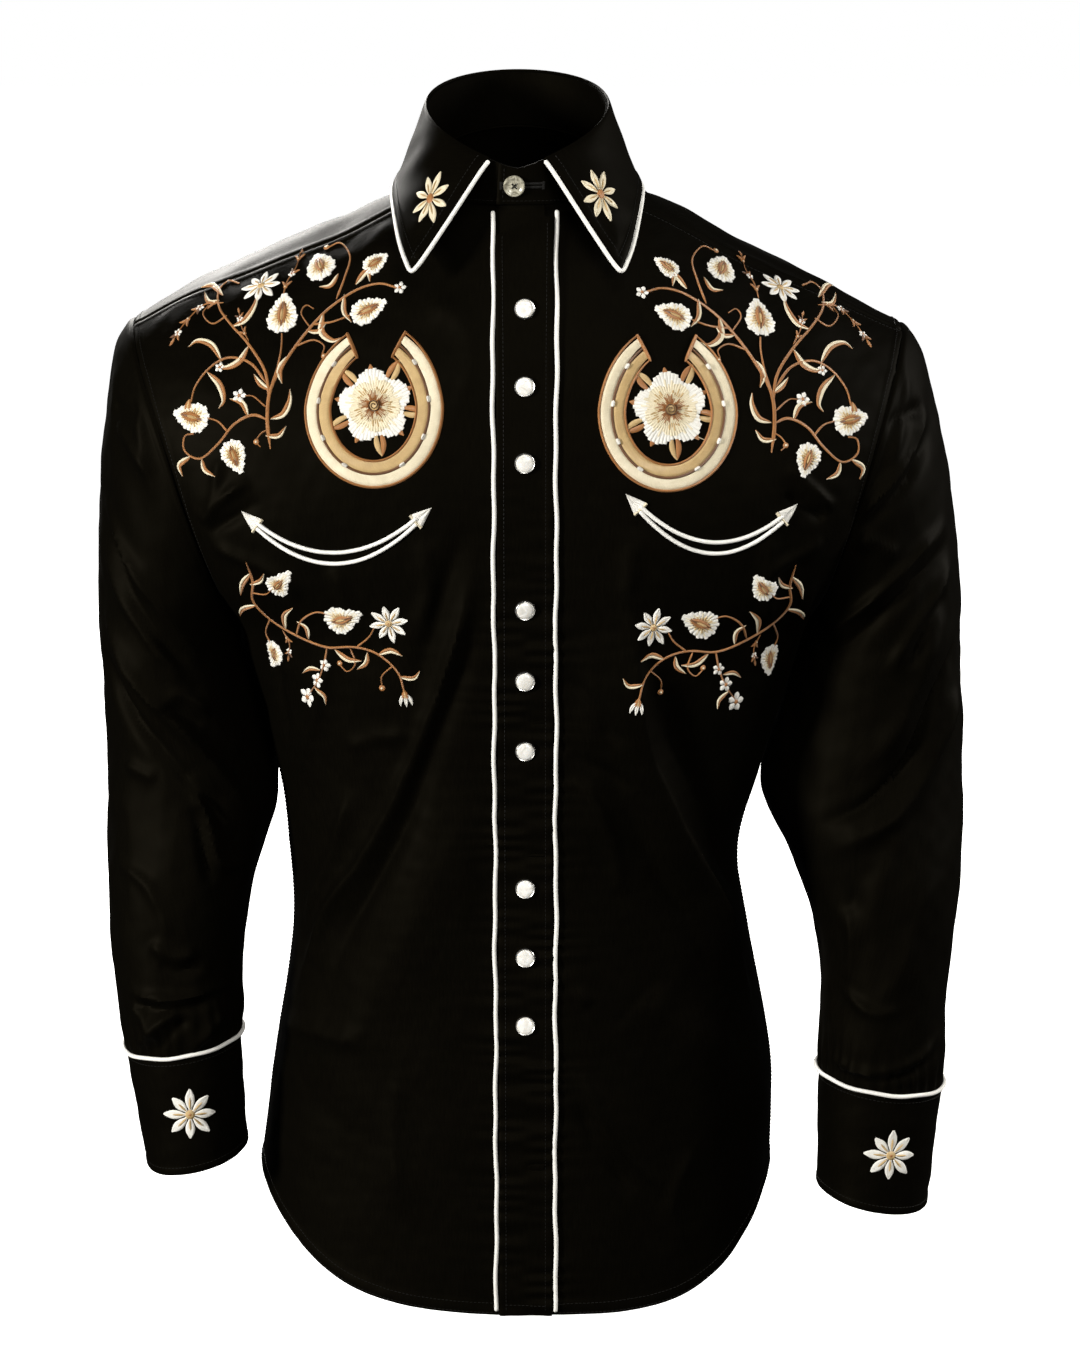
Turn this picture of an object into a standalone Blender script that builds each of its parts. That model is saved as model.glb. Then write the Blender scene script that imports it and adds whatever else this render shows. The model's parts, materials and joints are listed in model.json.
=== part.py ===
"""A man's western snap shirt, hollow and in the form it has when it is worn.

Metres, +Z up. The wearer looks along -Y, and the wearer's right is on the -X side. The
origin is inside the neckline, level with the neck's side points, where the wearer's neck
and shoulders carry the shirt. Every panel is a wall of cloth whose outer face runs through
rows of points between two seams. What lies on a panel is made from that panel's points,
moved out.
"""
from bisect import bisect_right
from math import asin, cos, exp, pi, radians, sin

import bpy
import numpy as np
from mathutils import Vector
from mathutils.bvhtree import BVHTree

# ---------------------------------------------------------------- driving dimensions
WALL = 0.0015              # one wall of cloth
GAP = 0.0003               # between a piece and what it lies on
SEAM = 0.0008              # between two panels at a seam, at their outer faces
RIGHT, LEFT = -1, 1        # the wearer's sides, and the sign of X there
FRONT, BACK = -1, 1        # the sign of Y there

BAND_WIDTH = 0.0345        # the front band, between its two lines of piping
BAND_STANDS_OFF = 0.0010   # how much more it stands off the hollow below the throat
FRONT_SPLIT = 0.012        # where the two fronts meet under the band
PIPING_RADIUS = 0.0014
SNAP_RADIUS = 0.0064
SNAP_TOP = -0.0815         # height of the highest snap
SNAP_PITCH = 0.0462        # every fourth place on this pitch is left empty
SNAP_PLACES = (0, 1, 2, 4, 5, 6, 8, 9, 10)
BUTTON_RADIUS = 0.0066
BUTTON_ANGLE = radians(-1.3)
CUFF_SNAP_RADIUS = 0.0056
CUFF_SNAP_DROPS = (0.018, 0.0415, 0.065)

NECK_X = -0.005            # the neck and shoulders sit a little to the right of the band
NECK_Y = -0.0075
NECK_HALF_WIDTH = 0.066
NECK_HALF_DEPTH = 0.0755
NECK_FRONT_Z = -0.0205
NECK_BACK_Z = 0.022
NECK_SEAM_ANGLE = radians(60)      # where the yoke's front seam meets the neckline
NECK_RISE = 1.55           # how late the neckline rises from its front to its back

STAND_TOP_HALF_WIDTH = 0.0572
STAND_TOP_FRONT = -0.0865
STAND_TOP_BACK = 0.060
STAND_TOP_FRONT_Z = 0.0015
STAND_TOP_BACK_Z = 0.056
COLLAR_SPREAD = 0.0165     # from the neck's middle to a leaf's front end
STAND_END = radians(-10.7)         # the stand's left end, which laps over its right one
STAND_OVERLAP = radians(19)
STAND_RISE = 0.6           # how early the stand's top rises from its front to its back
ROLL_OUT = 0.0015          # the fall rolls over the stand: this far out and up
ROLL_UP = 0.0075
FLANK = 0.30               # how far down the fall its slope is set
FLANK_OUT = 0.0025         # the slope there stands out at the points and the back
FLANK_IN = 0.0020          # and is drawn in over the shoulders

UNDERARM = 0.62            # the rise at which the side seam meets the armhole
NECK_POINT = 0.915         # the rise at which the front edge meets the neckline
ARMHOLE_Z = -0.195
ARMHOLE_HALF_HEIGHT = 0.096
ARMHOLE_HALF_DEPTH = 0.085
ARMHOLE_HOLLOW = 0.002     # the armhole curves in by this much halfway down
ARMHOLE_PACE = 0.8         # how early the rows climb the armhole
SHOULDER_REACH = {RIGHT: 0.2530, LEFT: 0.2450}
UNDERARM_REACH = {RIGHT: 0.1900, LEFT: 0.1870}
FRONT_YOKE_ANGLE = radians(14)     # where the yoke's front seam meets the armhole
BACK_YOKE_ANGLE = radians(50)      # where the yoke's back seam meets it
BACK_YOKE_Z = -0.122
BACK_YOKE_Y = 0.110
NECK_SHARE = 0.30          # how much of half the yoke's width lies behind the neck
YOKE_FULLNESS = 1.15       # how far the yoke follows the back up before it turns forwards
YOKE_DRAWN = 0.55          # from this share of its half width it is drawn to the armhole

SLEEVE_HEAD = 0.20         # a sleeve's head, from the armhole to the upper arm
HEAD_SEAM = 0.0011         # its start stands off the armhole
HEAD_OUT = (0.24, 0.10)    # it leaves the armhole outwards: all round, and more on top
HEAD_DOWN = (0.62, 0.40)   # and downwards: all round, and less on top
HEAD_ARRIVES = 0.8         # and arrives at the upper arm straight down
ARM_RADIUS = 0.055         # the arm's rough radius, by which a fold's angles are measured

CUFF_CLOSING = radians(285)        # the cuff closes behind the arm, towards its outer side
CUFF_OVERLAP = radians(44)
SLIT_ANGLE = radians(268)
SLIT_BAND_WIDTH = 0.024
SLIT_BAND_LENGTH = 0.125
FOREARM_RADIUS = 0.042

# ------------------------------------------------------------------ tables of sections
# rise runs from 0 at the hem to 1 at the shoulder seam. Distances are in metres.
SIDE_SEAM = (("rise", "height", "right", "left"), (
    (0.00, -0.676, 0.1826, 0.1672),
    (0.15, -0.600, 0.1722, 0.1670),
    (0.30, -0.500, 0.1572, 0.1485),
    (0.38, -0.455, 0.1590, 0.1415),
    (0.46, -0.412, 0.1630, 0.1520),
    (0.54, -0.355, 0.1745, 0.1690),
    (0.62, -0.291, 0.1900, 0.1870)))

FRONT_LINE = (("rise", "depth", "height"), (
    (0.00, -0.118, -0.742),
    (0.15, -0.112, -0.610),
    (0.30, -0.109, -0.500),
    (0.38, -0.109, -0.455),
    (0.46, -0.111, -0.412),
    (0.54, -0.116, -0.350),
    (0.62, -0.123, -0.275),
    (0.70, -0.127, -0.205),
    (0.77, -0.125, -0.145),
    (0.83, -0.116, -0.090),
    (0.88, -0.099, -0.048),
    (NECK_POINT, -0.083, NECK_FRONT_Z)))

BACK_LINE = (("rise", "depth", "height"), (
    (0.00, 0.120, -0.738),
    (0.15, 0.115, -0.610),
    (0.30, 0.098, -0.500),
    (0.38, 0.088, -0.455),
    (0.46, 0.084, -0.412),
    (0.54, 0.088, -0.350),
    (0.62, 0.099, -0.275),
    (0.80, 0.108, -0.195),
    (1.00, BACK_YOKE_Y, BACK_YOKE_Z)))

# a roundness of 2 is an ellipse and 1 is straight; hem_bend sets how late a row rises outwards
SECTION = (("rise", "front_round", "back_round", "hem_bend", "chest"), (
    (0.00, 2.25, 2.25, 4.5, 0.000),
    (0.15, 2.20, 2.20, 3.0, 0.000),
    (0.40, 2.15, 2.15, 1.5, 0.000),
    (0.62, 2.25, 2.25, 1.2, 0.003),
    (0.72, 2.00, 2.25, 1.1, 0.006),
    (0.84, 1.50, 2.15, 1.0, 0.005),
    (1.00, 1.10, 2.00, 1.0, 0.000)))

# drop is the distance below the ring round the upper arm; outer and inner are distances
# from the middle of the body, and lean lowers a ring's outer side
UPPER_ARM_Z = -0.310
SLEEVE = {
    RIGHT: (("drop", "outer", "inner", "front", "back", "lean"), (
        (0.000, 0.2838, 0.1865, -0.066, 0.090, 0.000),
        (0.050, 0.2818, 0.1745, -0.062, 0.085, 0.000),
        (0.085, 0.2812, 0.1680, -0.063, 0.077, 0.000),
        (0.112, 0.2810, 0.1675, -0.066, 0.068, 0.000),
        (0.140, 0.2807, 0.1765, -0.071, 0.056, 0.001),
        (0.185, 0.2790, 0.1870, -0.078, 0.036, 0.002),
        (0.225, 0.2750, 0.1905, -0.081, 0.022, 0.004),
        (0.252, 0.2712, 0.1905, -0.083, 0.012, 0.005),
        (0.267, 0.2690, 0.1920, -0.080, 0.005, 0.005))),
    LEFT: (("drop", "outer", "inner", "front", "back", "lean"), (
        (0.000, 0.2892, 0.1830, -0.066, 0.090, 0.000),
        (0.050, 0.2920, 0.1690, -0.062, 0.086, 0.000),
        (0.082, 0.2932, 0.1600, -0.062, 0.079, 0.000),
        (0.106, 0.2935, 0.1590, -0.065, 0.070, 0.000),
        (0.142, 0.2928, 0.1755, -0.072, 0.055, 0.001),
        (0.190, 0.2875, 0.1930, -0.078, 0.036, 0.002),
        (0.235, 0.2822, 0.1985, -0.081, 0.022, 0.004),
        (0.275, 0.2812, 0.1965, -0.083, 0.010, 0.005),
        (0.293, 0.2803, 0.1970, -0.080, 0.005, 0.005)))}

CUFF = {
    RIGHT: (("drop", "outer", "inner", "front", "back", "lean"), (
        (0.000, 0.2690, 0.1920, -0.080, 0.005, 0.005),
        (0.080, 0.2562, 0.1888, -0.084, -0.002, 0.006))),
    LEFT: (("drop", "outer", "inner", "front", "back", "lean"), (
        (0.000, 0.2803, 0.1970, -0.080, 0.005, 0.005),
        (0.082, 0.2720, 0.1975, -0.084, -0.002, 0.006)))}

# the collar fall's outer edge, from a point round to the middle of the back
FALL_EDGE = (("turn", "out", "depth", "height"), (
    (0.00, 0.0635, -0.1130, -0.0575),
    (0.15, 0.0705, -0.0940, -0.0425),
    (0.30, 0.0760, -0.0620, -0.0245),
    (0.38, 0.0782, -0.0410, -0.0170),
    (0.46, 0.0790, -0.0180, -0.0120),
    (0.60, 0.0735, 0.0200, -0.0070),
    (0.78, 0.0530, 0.0620, 0.0000),
    (0.90, 0.0270, 0.0810, 0.0040),
    (1.00, 0.0000, 0.0870, 0.0050)))

# the largest folds of the fronts: a ridge from one place to another, seen from the front
FRONT_FOLDS = (("from_x", "from_z", "to_x", "to_z", "height", "width"), (
    (-0.045, -0.290, -0.155, -0.540, 0.0045, 0.024),
    (-0.120, -0.250, -0.150, -0.420, 0.0030, 0.022),
    (0.052, -0.335, 0.158, -0.560, 0.0045, 0.020),
    (0.120, -0.250, 0.125, -0.400, 0.0030, 0.024)))

# the largest folds of a sleeve: a ridge between two places, each an angle and a drop
SLEEVE_FOLDS = (("from_angle", "from_drop", "to_angle", "to_drop", "height", "width"), (
    (20.0, -0.040, 110.0, 0.075, 0.0035, 0.018),
    (40.0, 0.060, 150.0, 0.125, 0.0040, 0.016),
    (200.0, 0.050, 300.0, 0.110, 0.0040, 0.018),
    (20.0, 0.130, 130.0, 0.180, 0.0030, 0.014),
    (220.0, 0.150, 330.0, 0.200, 0.0030, 0.015)))

# smile pockets: the line between the two lips, seen from the front, by its two ends and
# the lowest place between them
POCKET_LIP_SPREAD = 0.0036         # each lip's distance from that line at its middle
POCKET_LIP_START = 0.0018          # and at its ends
POCKET_PIPING_RADIUS = 0.0013
POCKET_ARROW = 0.0115              # an arrowhead's length
POCKET_ARROW_WIDTH = 0.0105
POCKET_ARROW_HEIGHT = 0.0010
POCKETS = (("side", "outer_x", "outer_z", "low_z", "inner_x", "inner_z"), (
    (RIGHT, -0.1660, -0.2160, -0.2345, -0.0670, -0.2105),
    (LEFT, 0.1590, -0.2110, -0.2275, 0.0710, -0.2025)))


def read(table, column, place):
    """One column of a table, read smoothly between its rows at a place in its first one."""
    names, rows = table
    places = [row[0] for row in rows]
    values = [row[names.index(column)] for row in rows]
    slopes = np.gradient(values, places)
    row = min(max(bisect_right(places, place) - 1, 0), len(places) - 2)
    span = places[row + 1] - places[row]
    t = (place - places[row]) / span
    start = (1 + 2 * t) * (1 - t) ** 2 * values[row] + t * (1 - t) ** 2 * span * slopes[row]
    end = t * t * (3 - 2 * t) * values[row + 1] - t * t * (1 - t) * span * slopes[row + 1]
    return float(start + end)


def smooth(start, end, value):
    """0 before start, 1 after end, and a soft step between them."""
    t = min(max((value - start) / (end - start), 0.0), 1.0)
    return t * t * (3 - 2 * t)


# ----------------------------------------------------------------------- seam curves
def neck(angle):
    """The neckline: angle 0 is the front, pi / 2 the left side and pi the back."""
    share = ((1 - cos(angle)) / 2) ** NECK_RISE
    return Vector((NECK_X + NECK_HALF_WIDTH * sin(angle),
                   NECK_Y - NECK_HALF_DEPTH * cos(angle),
                   NECK_FRONT_Z + (NECK_BACK_Z - NECK_FRONT_Z) * share))


def armhole(side, face, angle):
    """The armhole: angle 0 is the shoulder's tip and pi is under the arm."""
    middle = (SHOULDER_REACH[side] + UNDERARM_REACH[side]) / 2
    half = (SHOULDER_REACH[side] - UNDERARM_REACH[side]) / 2
    reach = middle + half * cos(angle) - ARMHOLE_HOLLOW * sin(angle) ** 2
    return Vector((side * reach,
                   face * ARMHOLE_HALF_DEPTH * sin(angle),
                   ARMHOLE_Z + ARMHOLE_HALF_HEIGHT * cos(angle)))


def outer_edge(side, face, rise):
    """The side seam up to the arm, then the armhole up to the yoke's seam."""
    half_seam = Vector((0, face * SEAM / 2, 0))
    if rise <= UNDERARM:
        reach = read(SIDE_SEAM, "right" if side == RIGHT else "left", rise)
        return Vector((side * reach, 0, read(SIDE_SEAM, "height", rise))) + half_seam
    last = FRONT_YOKE_ANGLE if face == FRONT else BACK_YOKE_ANGLE
    share = ((rise - UNDERARM) / (1 - UNDERARM)) ** ARMHOLE_PACE
    return armhole(side, face, pi + (last - pi) * share) + half_seam * (1 - share)


def inner_edge(side, rise):
    """A front's edge under the band, then the neckline up to the yoke's seam."""
    gap = Vector((side * SEAM / 2, 0, 0))
    if rise <= NECK_POINT:
        return Vector((FRONT_SPLIT, read(FRONT_LINE, "depth", rise),
                       read(FRONT_LINE, "height", rise))) + gap
    share = (rise - NECK_POINT) / (1 - NECK_POINT)
    start = side * (FRONT_SPLIT - NECK_X) / NECK_HALF_WIDTH
    return neck(side * (start + (NECK_SEAM_ANGLE - start) * share)) + gap * (1 - share)


# --------------------------------------------------------------------------- surfaces
def row_point(inner, outer, across, rise, roundness):
    """A point of the row that bends from the inner edge round to the outer one."""
    power = 2 / read(SECTION, roundness, rise)
    run = sin(across * pi / 2) ** power
    turn = max(cos(across * pi / 2), 0.0) ** power
    lift = run ** read(SECTION, "hem_bend", rise)
    return Vector((inner.x + (outer.x - inner.x) * run,
                   outer.y + (inner.y - outer.y) * turn,
                   inner.z + (outer.z - inner.z) * lift))


def plain_front(side, across, rise):
    """A front panel without its folds: across runs from its front edge to its side."""
    inner, outer = inner_edge(side, rise), outer_edge(side, FRONT, rise)
    point = row_point(inner, outer, across, rise, "front_round")
    point.y -= read(SECTION, "chest", rise) * sin(pi * across)
    return point


def plain_back(across, rise):
    """The back panel: across runs from -1 at its right side to 1 at its left."""
    side = RIGHT if across < 0 else LEFT
    middle = Vector((0, read(BACK_LINE, "depth", rise), read(BACK_LINE, "height", rise)))
    return row_point(middle, outer_edge(side, BACK, rise), abs(across), rise, "back_round")


def outward(surface, first, second, heart):
    """The direction that looks away from heart, square to a surface at one place."""
    step = 0.004
    along = surface(first + step, second) - surface(first - step, second)
    up = surface(first, second + step) - surface(first, second - step)
    normal = along.cross(up).normalized()
    return normal if normal.dot(surface(first, second) - heart) > 0 else -normal


def fold(run_x, run_y, x, y, height, width):
    """How far a fold lifts the place x, y, both measured from its start; it ends at its run."""
    length = (run_x ** 2 + run_y ** 2) ** 0.5
    along = (x * run_x + y * run_y) / length ** 2
    aside = (x * run_y - y * run_x) / length
    taper = smooth(-0.3, 0.25, along) * (1 - smooth(0.75, 1.3, along))
    return height * taper * exp(-(aside / width) ** 2)


def front_lift(x, z):
    """How far the fronts' folds lift them at a place seen from the front."""
    return sum(fold(to_x - from_x, to_z - from_z, x - from_x, z - from_z, height, width)
               for from_x, from_z, to_x, to_z, height, width in FRONT_FOLDS[1])


def front(side, across, rise):
    """A front panel with its largest folds."""
    point = plain_front(side, across, rise)
    edge = smooth(0.0, 0.15, across) * (1 - smooth(0.85, 1.0, across))
    return point + Vector((0, -1, 0)) * front_lift(point.x, point.z) * edge


def ring(table, side, angle, drop):
    """A ring round the arm: angle 0 is its outer side and pi / 2 its front."""
    outer, inner = read(table, "outer", drop), read(table, "inner", drop)
    near, far = read(table, "front", drop), read(table, "back", drop)
    return Vector((side * ((outer + inner) / 2 + (outer - inner) / 2 * cos(angle)),
                   (near + far) / 2 - (far - near) / 2 * sin(angle),
                   -read(table, "lean", drop) * cos(angle) - drop))


def sleeve(side, angle, drop):
    """A sleeve without folds: a drop below 0 is on its head, above the upper arm."""
    base = Vector((0, 0, UPPER_ARM_Z))
    if drop >= 0:
        return ring(SLEEVE[side], side, angle, drop) + base
    face = FRONT if sin(angle) > 0 else BACK
    start = armhole(side, face, angle if face == FRONT else 2 * pi - angle)
    start.x += side * HEAD_SEAM
    end = ring(SLEEVE[side], side, angle, 0) + base
    span = (end - start).length
    leave = Vector((side * (HEAD_OUT[0] + HEAD_OUT[1] * cos(angle)), 0,
                    HEAD_DOWN[1] * cos(angle) - HEAD_DOWN[0])) * span
    arrive = Vector((0, 0, -HEAD_ARRIVES)) * span
    t = 1 + drop / SLEEVE_HEAD
    return (start * (1 + 2 * t) * (1 - t) ** 2 + leave * t * (1 - t) ** 2
            + end * t * t * (3 - 2 * t) - arrive * t * t * (1 - t))


def sleeve_axis(side, drop):
    """The middle of a sleeve, which its outer face looks away from."""
    return (sleeve(side, 0, drop) + sleeve(side, pi, drop)) / 2


def sleeve_lift(angle, drop):
    """How far a sleeve's folds lift it; the angle is in radians, a fold's own in degrees."""
    return sum(fold(radians(to_angle - from_angle) * ARM_RADIUS, to_drop - from_drop,
                    (angle - radians(from_angle)) * ARM_RADIUS, drop - from_drop, height, width)
               for from_angle, from_drop, to_angle, to_drop, height, width in SLEEVE_FOLDS[1])


def folded_sleeve(side, angle, drop):
    """A sleeve with its largest folds, which push it away from its middle."""
    point = sleeve(side, angle, drop)
    away = point - sleeve_axis(side, drop)
    away.z = 0
    near_body = smooth(0.0, 0.6, abs(angle - pi))
    return point + away.normalized() * sleeve_lift(angle, drop) * near_body


def cuff(side, turn, drop):
    """A cuff: turn 0 is its lower end and 1 its upper one, which laps over the first."""
    whole = 2 * pi + CUFF_OVERLAP
    angle = CUFF_CLOSING - CUFF_OVERLAP + turn * whole
    top = UPPER_ARM_Z - SLEEVE[side][1][-1][0]
    point = ring(CUFF[side], side, angle, drop)
    middle = (ring(CUFF[side], side, 0, drop) + ring(CUFF[side], side, pi, drop)) / 2
    away = Vector((point.x - middle.x, point.y - middle.y, 0)).normalized()
    lap = (WALL + 2 * GAP) * smooth(2 * pi - CUFF_OVERLAP, 2 * pi, turn * whole)
    return point + away * lap + Vector((0, 0, top - SEAM))


def stand(angle, up):
    """The collar stand: up 0 is the neckline, up 1 its top; its left end laps over its right."""
    low = neck(angle) + Vector((0, 0, SEAM))
    share = ((1 - cos(angle)) / 2) ** STAND_RISE
    middle_y = (STAND_TOP_FRONT + STAND_TOP_BACK) / 2
    high = Vector((NECK_X + STAND_TOP_HALF_WIDTH * sin(angle),
                   middle_y - (STAND_TOP_BACK - STAND_TOP_FRONT) / 2 * cos(angle),
                   STAND_TOP_FRONT_Z + (STAND_TOP_BACK_Z - STAND_TOP_FRONT_Z) * share))
    lap = (WALL + 2 * GAP) * (1 - smooth(radians(9), radians(30), angle))
    return low + (high - low) * up + Vector((sin(angle), -cos(angle), 0)) * lap


def fall(side, turn, down):
    """The collar fall: turn 0 is a leaf's front edge and 1 the middle of the back."""
    start = COLLAR_SPREAD / STAND_TOP_HALF_WIDTH
    angle = pi + side * (start + (pi - start) * turn - pi)
    root = stand(angle, 1) + Vector((0, 0, SEAM))
    edge = Vector((NECK_X + side * read(FALL_EDGE, "out", turn),
                   read(FALL_EDGE, "depth", turn),
                   read(FALL_EDGE, "height", turn)))
    away = Vector((sin(angle), -cos(angle), 0))
    over = root + away * ROLL_OUT + Vector((0, 0, ROLL_UP))
    shoulder = smooth(0.1, 0.4, turn) * (1 - smooth(0.6, 0.9, turn))
    stands_out = FLANK_OUT - (FLANK_OUT + FLANK_IN) * shoulder
    flank = root.lerp(edge, FLANK) + away * stands_out
    t = down
    return (root * (1 - t) ** 3 + over * 3 * t * (1 - t) ** 2
            + flank * 3 * t * t * (1 - t) + edge * t ** 3)


# --------------------------------------------------------------------------- building
def clear_scene():
    for thing in list(bpy.data.objects):
        bpy.data.objects.remove(thing, do_unlink=True)


def new_collection(name):
    collection = bpy.data.collections.new(name)
    bpy.context.scene.collection.children.link(collection)
    return collection


def material(name, colour, roughness):
    """A plain material of one colour."""
    made = bpy.data.materials.new(name)
    made.use_nodes = True
    shader = made.node_tree.nodes["Principled BSDF"]
    shader.inputs["Base Color"].default_value = (*colour, 1.0)
    shader.inputs["Roughness"].default_value = roughness
    return made


def place(name, data, finish):
    """An object in the shirt's collection, with its own material."""
    thing = bpy.data.objects.new(name, data)
    data.materials.append(material(name, *finish))
    SHIRT.objects.link(thing)
    return thing


def cloth(name, rows, heart, finish, closed=False):
    """A wall of cloth whose outer face runs through the rows and looks away from heart."""
    width = len(rows[0])
    faces = [(r * width + c, r * width + (c + 1) % width,
              (r + 1) * width + (c + 1) % width, (r + 1) * width + c)
             for r in range(len(rows) - 1) for c in range(width if closed else width - 1)]
    points = [point for row in rows for point in row]
    SKINS[name] = BVHTree.FromPolygons(points, faces)
    mesh = bpy.data.meshes.new(name)
    mesh.from_pydata(points, [], faces)
    if sum((face.center - heart).dot(face.normal) * face.area for face in mesh.polygons) < 0:
        mesh.flip_normals()
    mesh.shade_smooth()
    panel = place(name, mesh, finish)
    wall = panel.modifiers.new("wall", "SOLIDIFY")
    wall.thickness = WALL
    wall.offset = -1
    return panel


def tube(name, points, radius, finish):
    """A round cord through the points, such as piping."""
    curve = bpy.data.curves.new(name, "CURVE")
    curve.dimensions = "3D"
    curve.bevel_depth = radius
    curve.bevel_resolution = 2
    curve.use_fill_caps = True
    spline = curve.splines.new("POLY")
    spline.points.add(len(points) - 1)
    for knot, point in zip(spline.points, points):
        knot.co = (*point, 1.0)
    return place(name, curve, finish)


def turned(name, profile, point, normal, segments, finish):
    """A turned piece on a surface: its profile runs down its outer side."""
    mesh = bpy.data.meshes.new(name)
    mesh.from_pydata([(r, 0, z) for r, z in profile], [],
                     [(i + 1, i) for i in range(len(profile) - 1)])
    piece = place(name, mesh, finish)
    piece.location = point
    piece.rotation_mode = "QUATERNION"
    piece.rotation_quaternion = normal.to_track_quat("Z", "Y")
    screw = piece.modifiers.new("turn", "SCREW")
    screw.steps = segments
    screw.render_steps = segments
    screw.use_merge_vertices = True
    screw.merge_threshold = 0.00001
    return piece


# ----------------------------------------------------------- colours and roughness
BLACK = ((0.012, 0.011, 0.012), 0.55)
WHITE = ((0.86, 0.85, 0.80), 0.6)
CREAM = ((0.86, 0.80, 0.66), 0.6)
PEARL = ((0.82, 0.81, 0.78), 0.25)
HORN = ((0.42, 0.40, 0.33), 0.3)

CHEST = Vector((0, 0, -0.35))      # inside the body, which the trunk's panels look away from
SKINS = {}                         # the outer faces of the cloth, for what lies on them
BAND_RISES = [*np.linspace(0, UNDERARM, 12), *np.linspace(UNDERARM, NECK_POINT, 9)[1:]]
FRONTS = ("front_right", "front_left")


# ---------------------------------------------------------------------------- pieces
def make_fronts():
    rises = [*BAND_RISES, *np.linspace(NECK_POINT, 1, 4)[1:]]
    for side, name in zip((RIGHT, LEFT), FRONTS):
        rows = [[front(side, across, rise) for across in np.linspace(0, 1, 12)]
                for rise in rises]
        cloth(name, rows, CHEST, BLACK)


def make_back():
    rises = [*np.linspace(0, UNDERARM, 10), *np.linspace(UNDERARM, 1, 6)[1:]]
    rows = [[plain_back(across, rise) for across in np.linspace(-1, 1, 23)] for rise in rises]
    cloth("back", rows, CHEST, BLACK)


def climb(surface, across):
    """The direction in which a panel climbs where it ends at the yoke."""
    return (surface(across, 1) - surface(across, 0.97)).normalized()


def loose_yoke(across, up):
    """The yoke before its ends are drawn to the armholes."""
    side = RIGHT if across < 0 else LEFT
    low = plain_back(across, 1) + climb(plain_back, across) * SEAM
    arm = max(abs(across) - NECK_SHARE, 0) / (1 - NECK_SHARE)
    forwards = -climb(lambda place, rise: plain_front(side, place, rise), arm)
    if abs(across) <= NECK_SHARE:
        share = abs(across) / NECK_SHARE
        high = neck(side * (pi + (NECK_SEAM_ANGLE - pi) * share))
        neckwards = Vector((-side * 0.7 * smooth(0, 1, share), -0.7 * (1 - share), 0.6))
        ending = neckwards.lerp(forwards, smooth(0.55, 1, share))
    else:
        high = plain_front(side, arm, 1) - forwards * SEAM
        ending = forwards
    span = (high - low).length
    start, end = climb(plain_back, across) * YOKE_FULLNESS * span, ending * span
    return (low * (1 + 2 * up) * (1 - up) ** 2 + start * up * (1 - up) ** 2
            + high * up * up * (3 - 2 * up) - end * up * up * (1 - up))


def yoke(across, up):
    """The yoke: across -1 is the right armhole, up 0 the back seam, up 1 the top edge."""
    side = RIGHT if across < 0 else LEFT
    seam = SEAM / ARMHOLE_HALF_HEIGHT
    angle = BACK_YOKE_ANGLE - seam - up * (BACK_YOKE_ANGLE + FRONT_YOKE_ANGLE - 2 * seam)
    tip = armhole(side, BACK if angle > 0 else FRONT, abs(angle))
    pull = tip - loose_yoke(side, up)
    return loose_yoke(across, up) + pull * smooth(YOKE_DRAWN, 1, abs(across))


def make_yoke():
    rows = [[yoke(across, up) for across in np.linspace(-1, 1, 25)]
            for up in np.linspace(0, 1, 8)]
    cloth("yoke", rows, Vector((0, 0, -0.2)), BLACK)


def on_front(x, rise):
    """The place on the fronts at a given distance from the front's middle."""
    side = LEFT if x > FRONT_SPLIT else RIGHT
    inner, outer = inner_edge(side, rise), outer_edge(side, FRONT, rise)
    run = max((x - inner.x) / (outer.x - inner.x), 0.0)
    across = asin(run ** (read(SECTION, "front_round", rise) / 2)) / (pi / 2)
    return front(side, across, rise)


def make_band():
    places = np.linspace(-BAND_WIDTH / 2, BAND_WIDTH / 2, 4)
    rows = []
    for rise in BAND_RISES:
        lift = WALL + 2 * GAP + BAND_STANDS_OFF * smooth(0.80, 0.88, rise)
        rows.append([on_front(x, rise) + outward(on_front, x, min(rise, 0.905), CHEST) * lift
                     for x in places])
    cloth("placket", rows, CHEST, BLACK)


def make_sleeves():
    for side, name in ((RIGHT, "sleeve_right"), (LEFT, "sleeve_left")):
        length = SLEEVE[side][1][-1][0]
        drops = [*np.linspace(-SLEEVE_HEAD, 0, 9), *np.linspace(0, length, 11)[1:]]
        rows = [[folded_sleeve(side, angle, drop)
                 for angle in np.linspace(0, 2 * pi, 21)[:-1]] for drop in drops]
        cloth(name, rows, sleeve_axis(side, 0.05), BLACK, closed=True)


def make_cuffs():
    for side, name in ((RIGHT, "cuff_right"), (LEFT, "cuff_left")):
        height = CUFF[side][1][-1][0]
        rows = [[cuff(side, turn, drop) for turn in np.linspace(0, 1, 27)]
                for drop in np.linspace(0, height, 3)]
        cloth(name, rows, (rows[1][0] + rows[1][11]) / 2, BLACK)


def make_collar():
    angles = np.linspace(STAND_END, STAND_END + 2 * pi + STAND_OVERLAP, 29)
    rows = [[stand(angle, up) for angle in angles] for up in (0, 0.5, 1)]
    cloth("collar_stand", rows, Vector((NECK_X, 0, 0)), BLACK)
    turns = [(LEFT, turn) for turn in np.linspace(0, 1, 13)]
    turns += [(RIGHT, turn) for turn in np.linspace(1, 0, 13)[1:]]
    rows = [[fall(side, turn, down) for side, turn in turns]
            for down in (0, 0.1, 0.22, 0.4, 0.7, 1)]
    cloth("collar_fall", rows, Vector((NECK_X, 0, -0.02)), BLACK)


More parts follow.
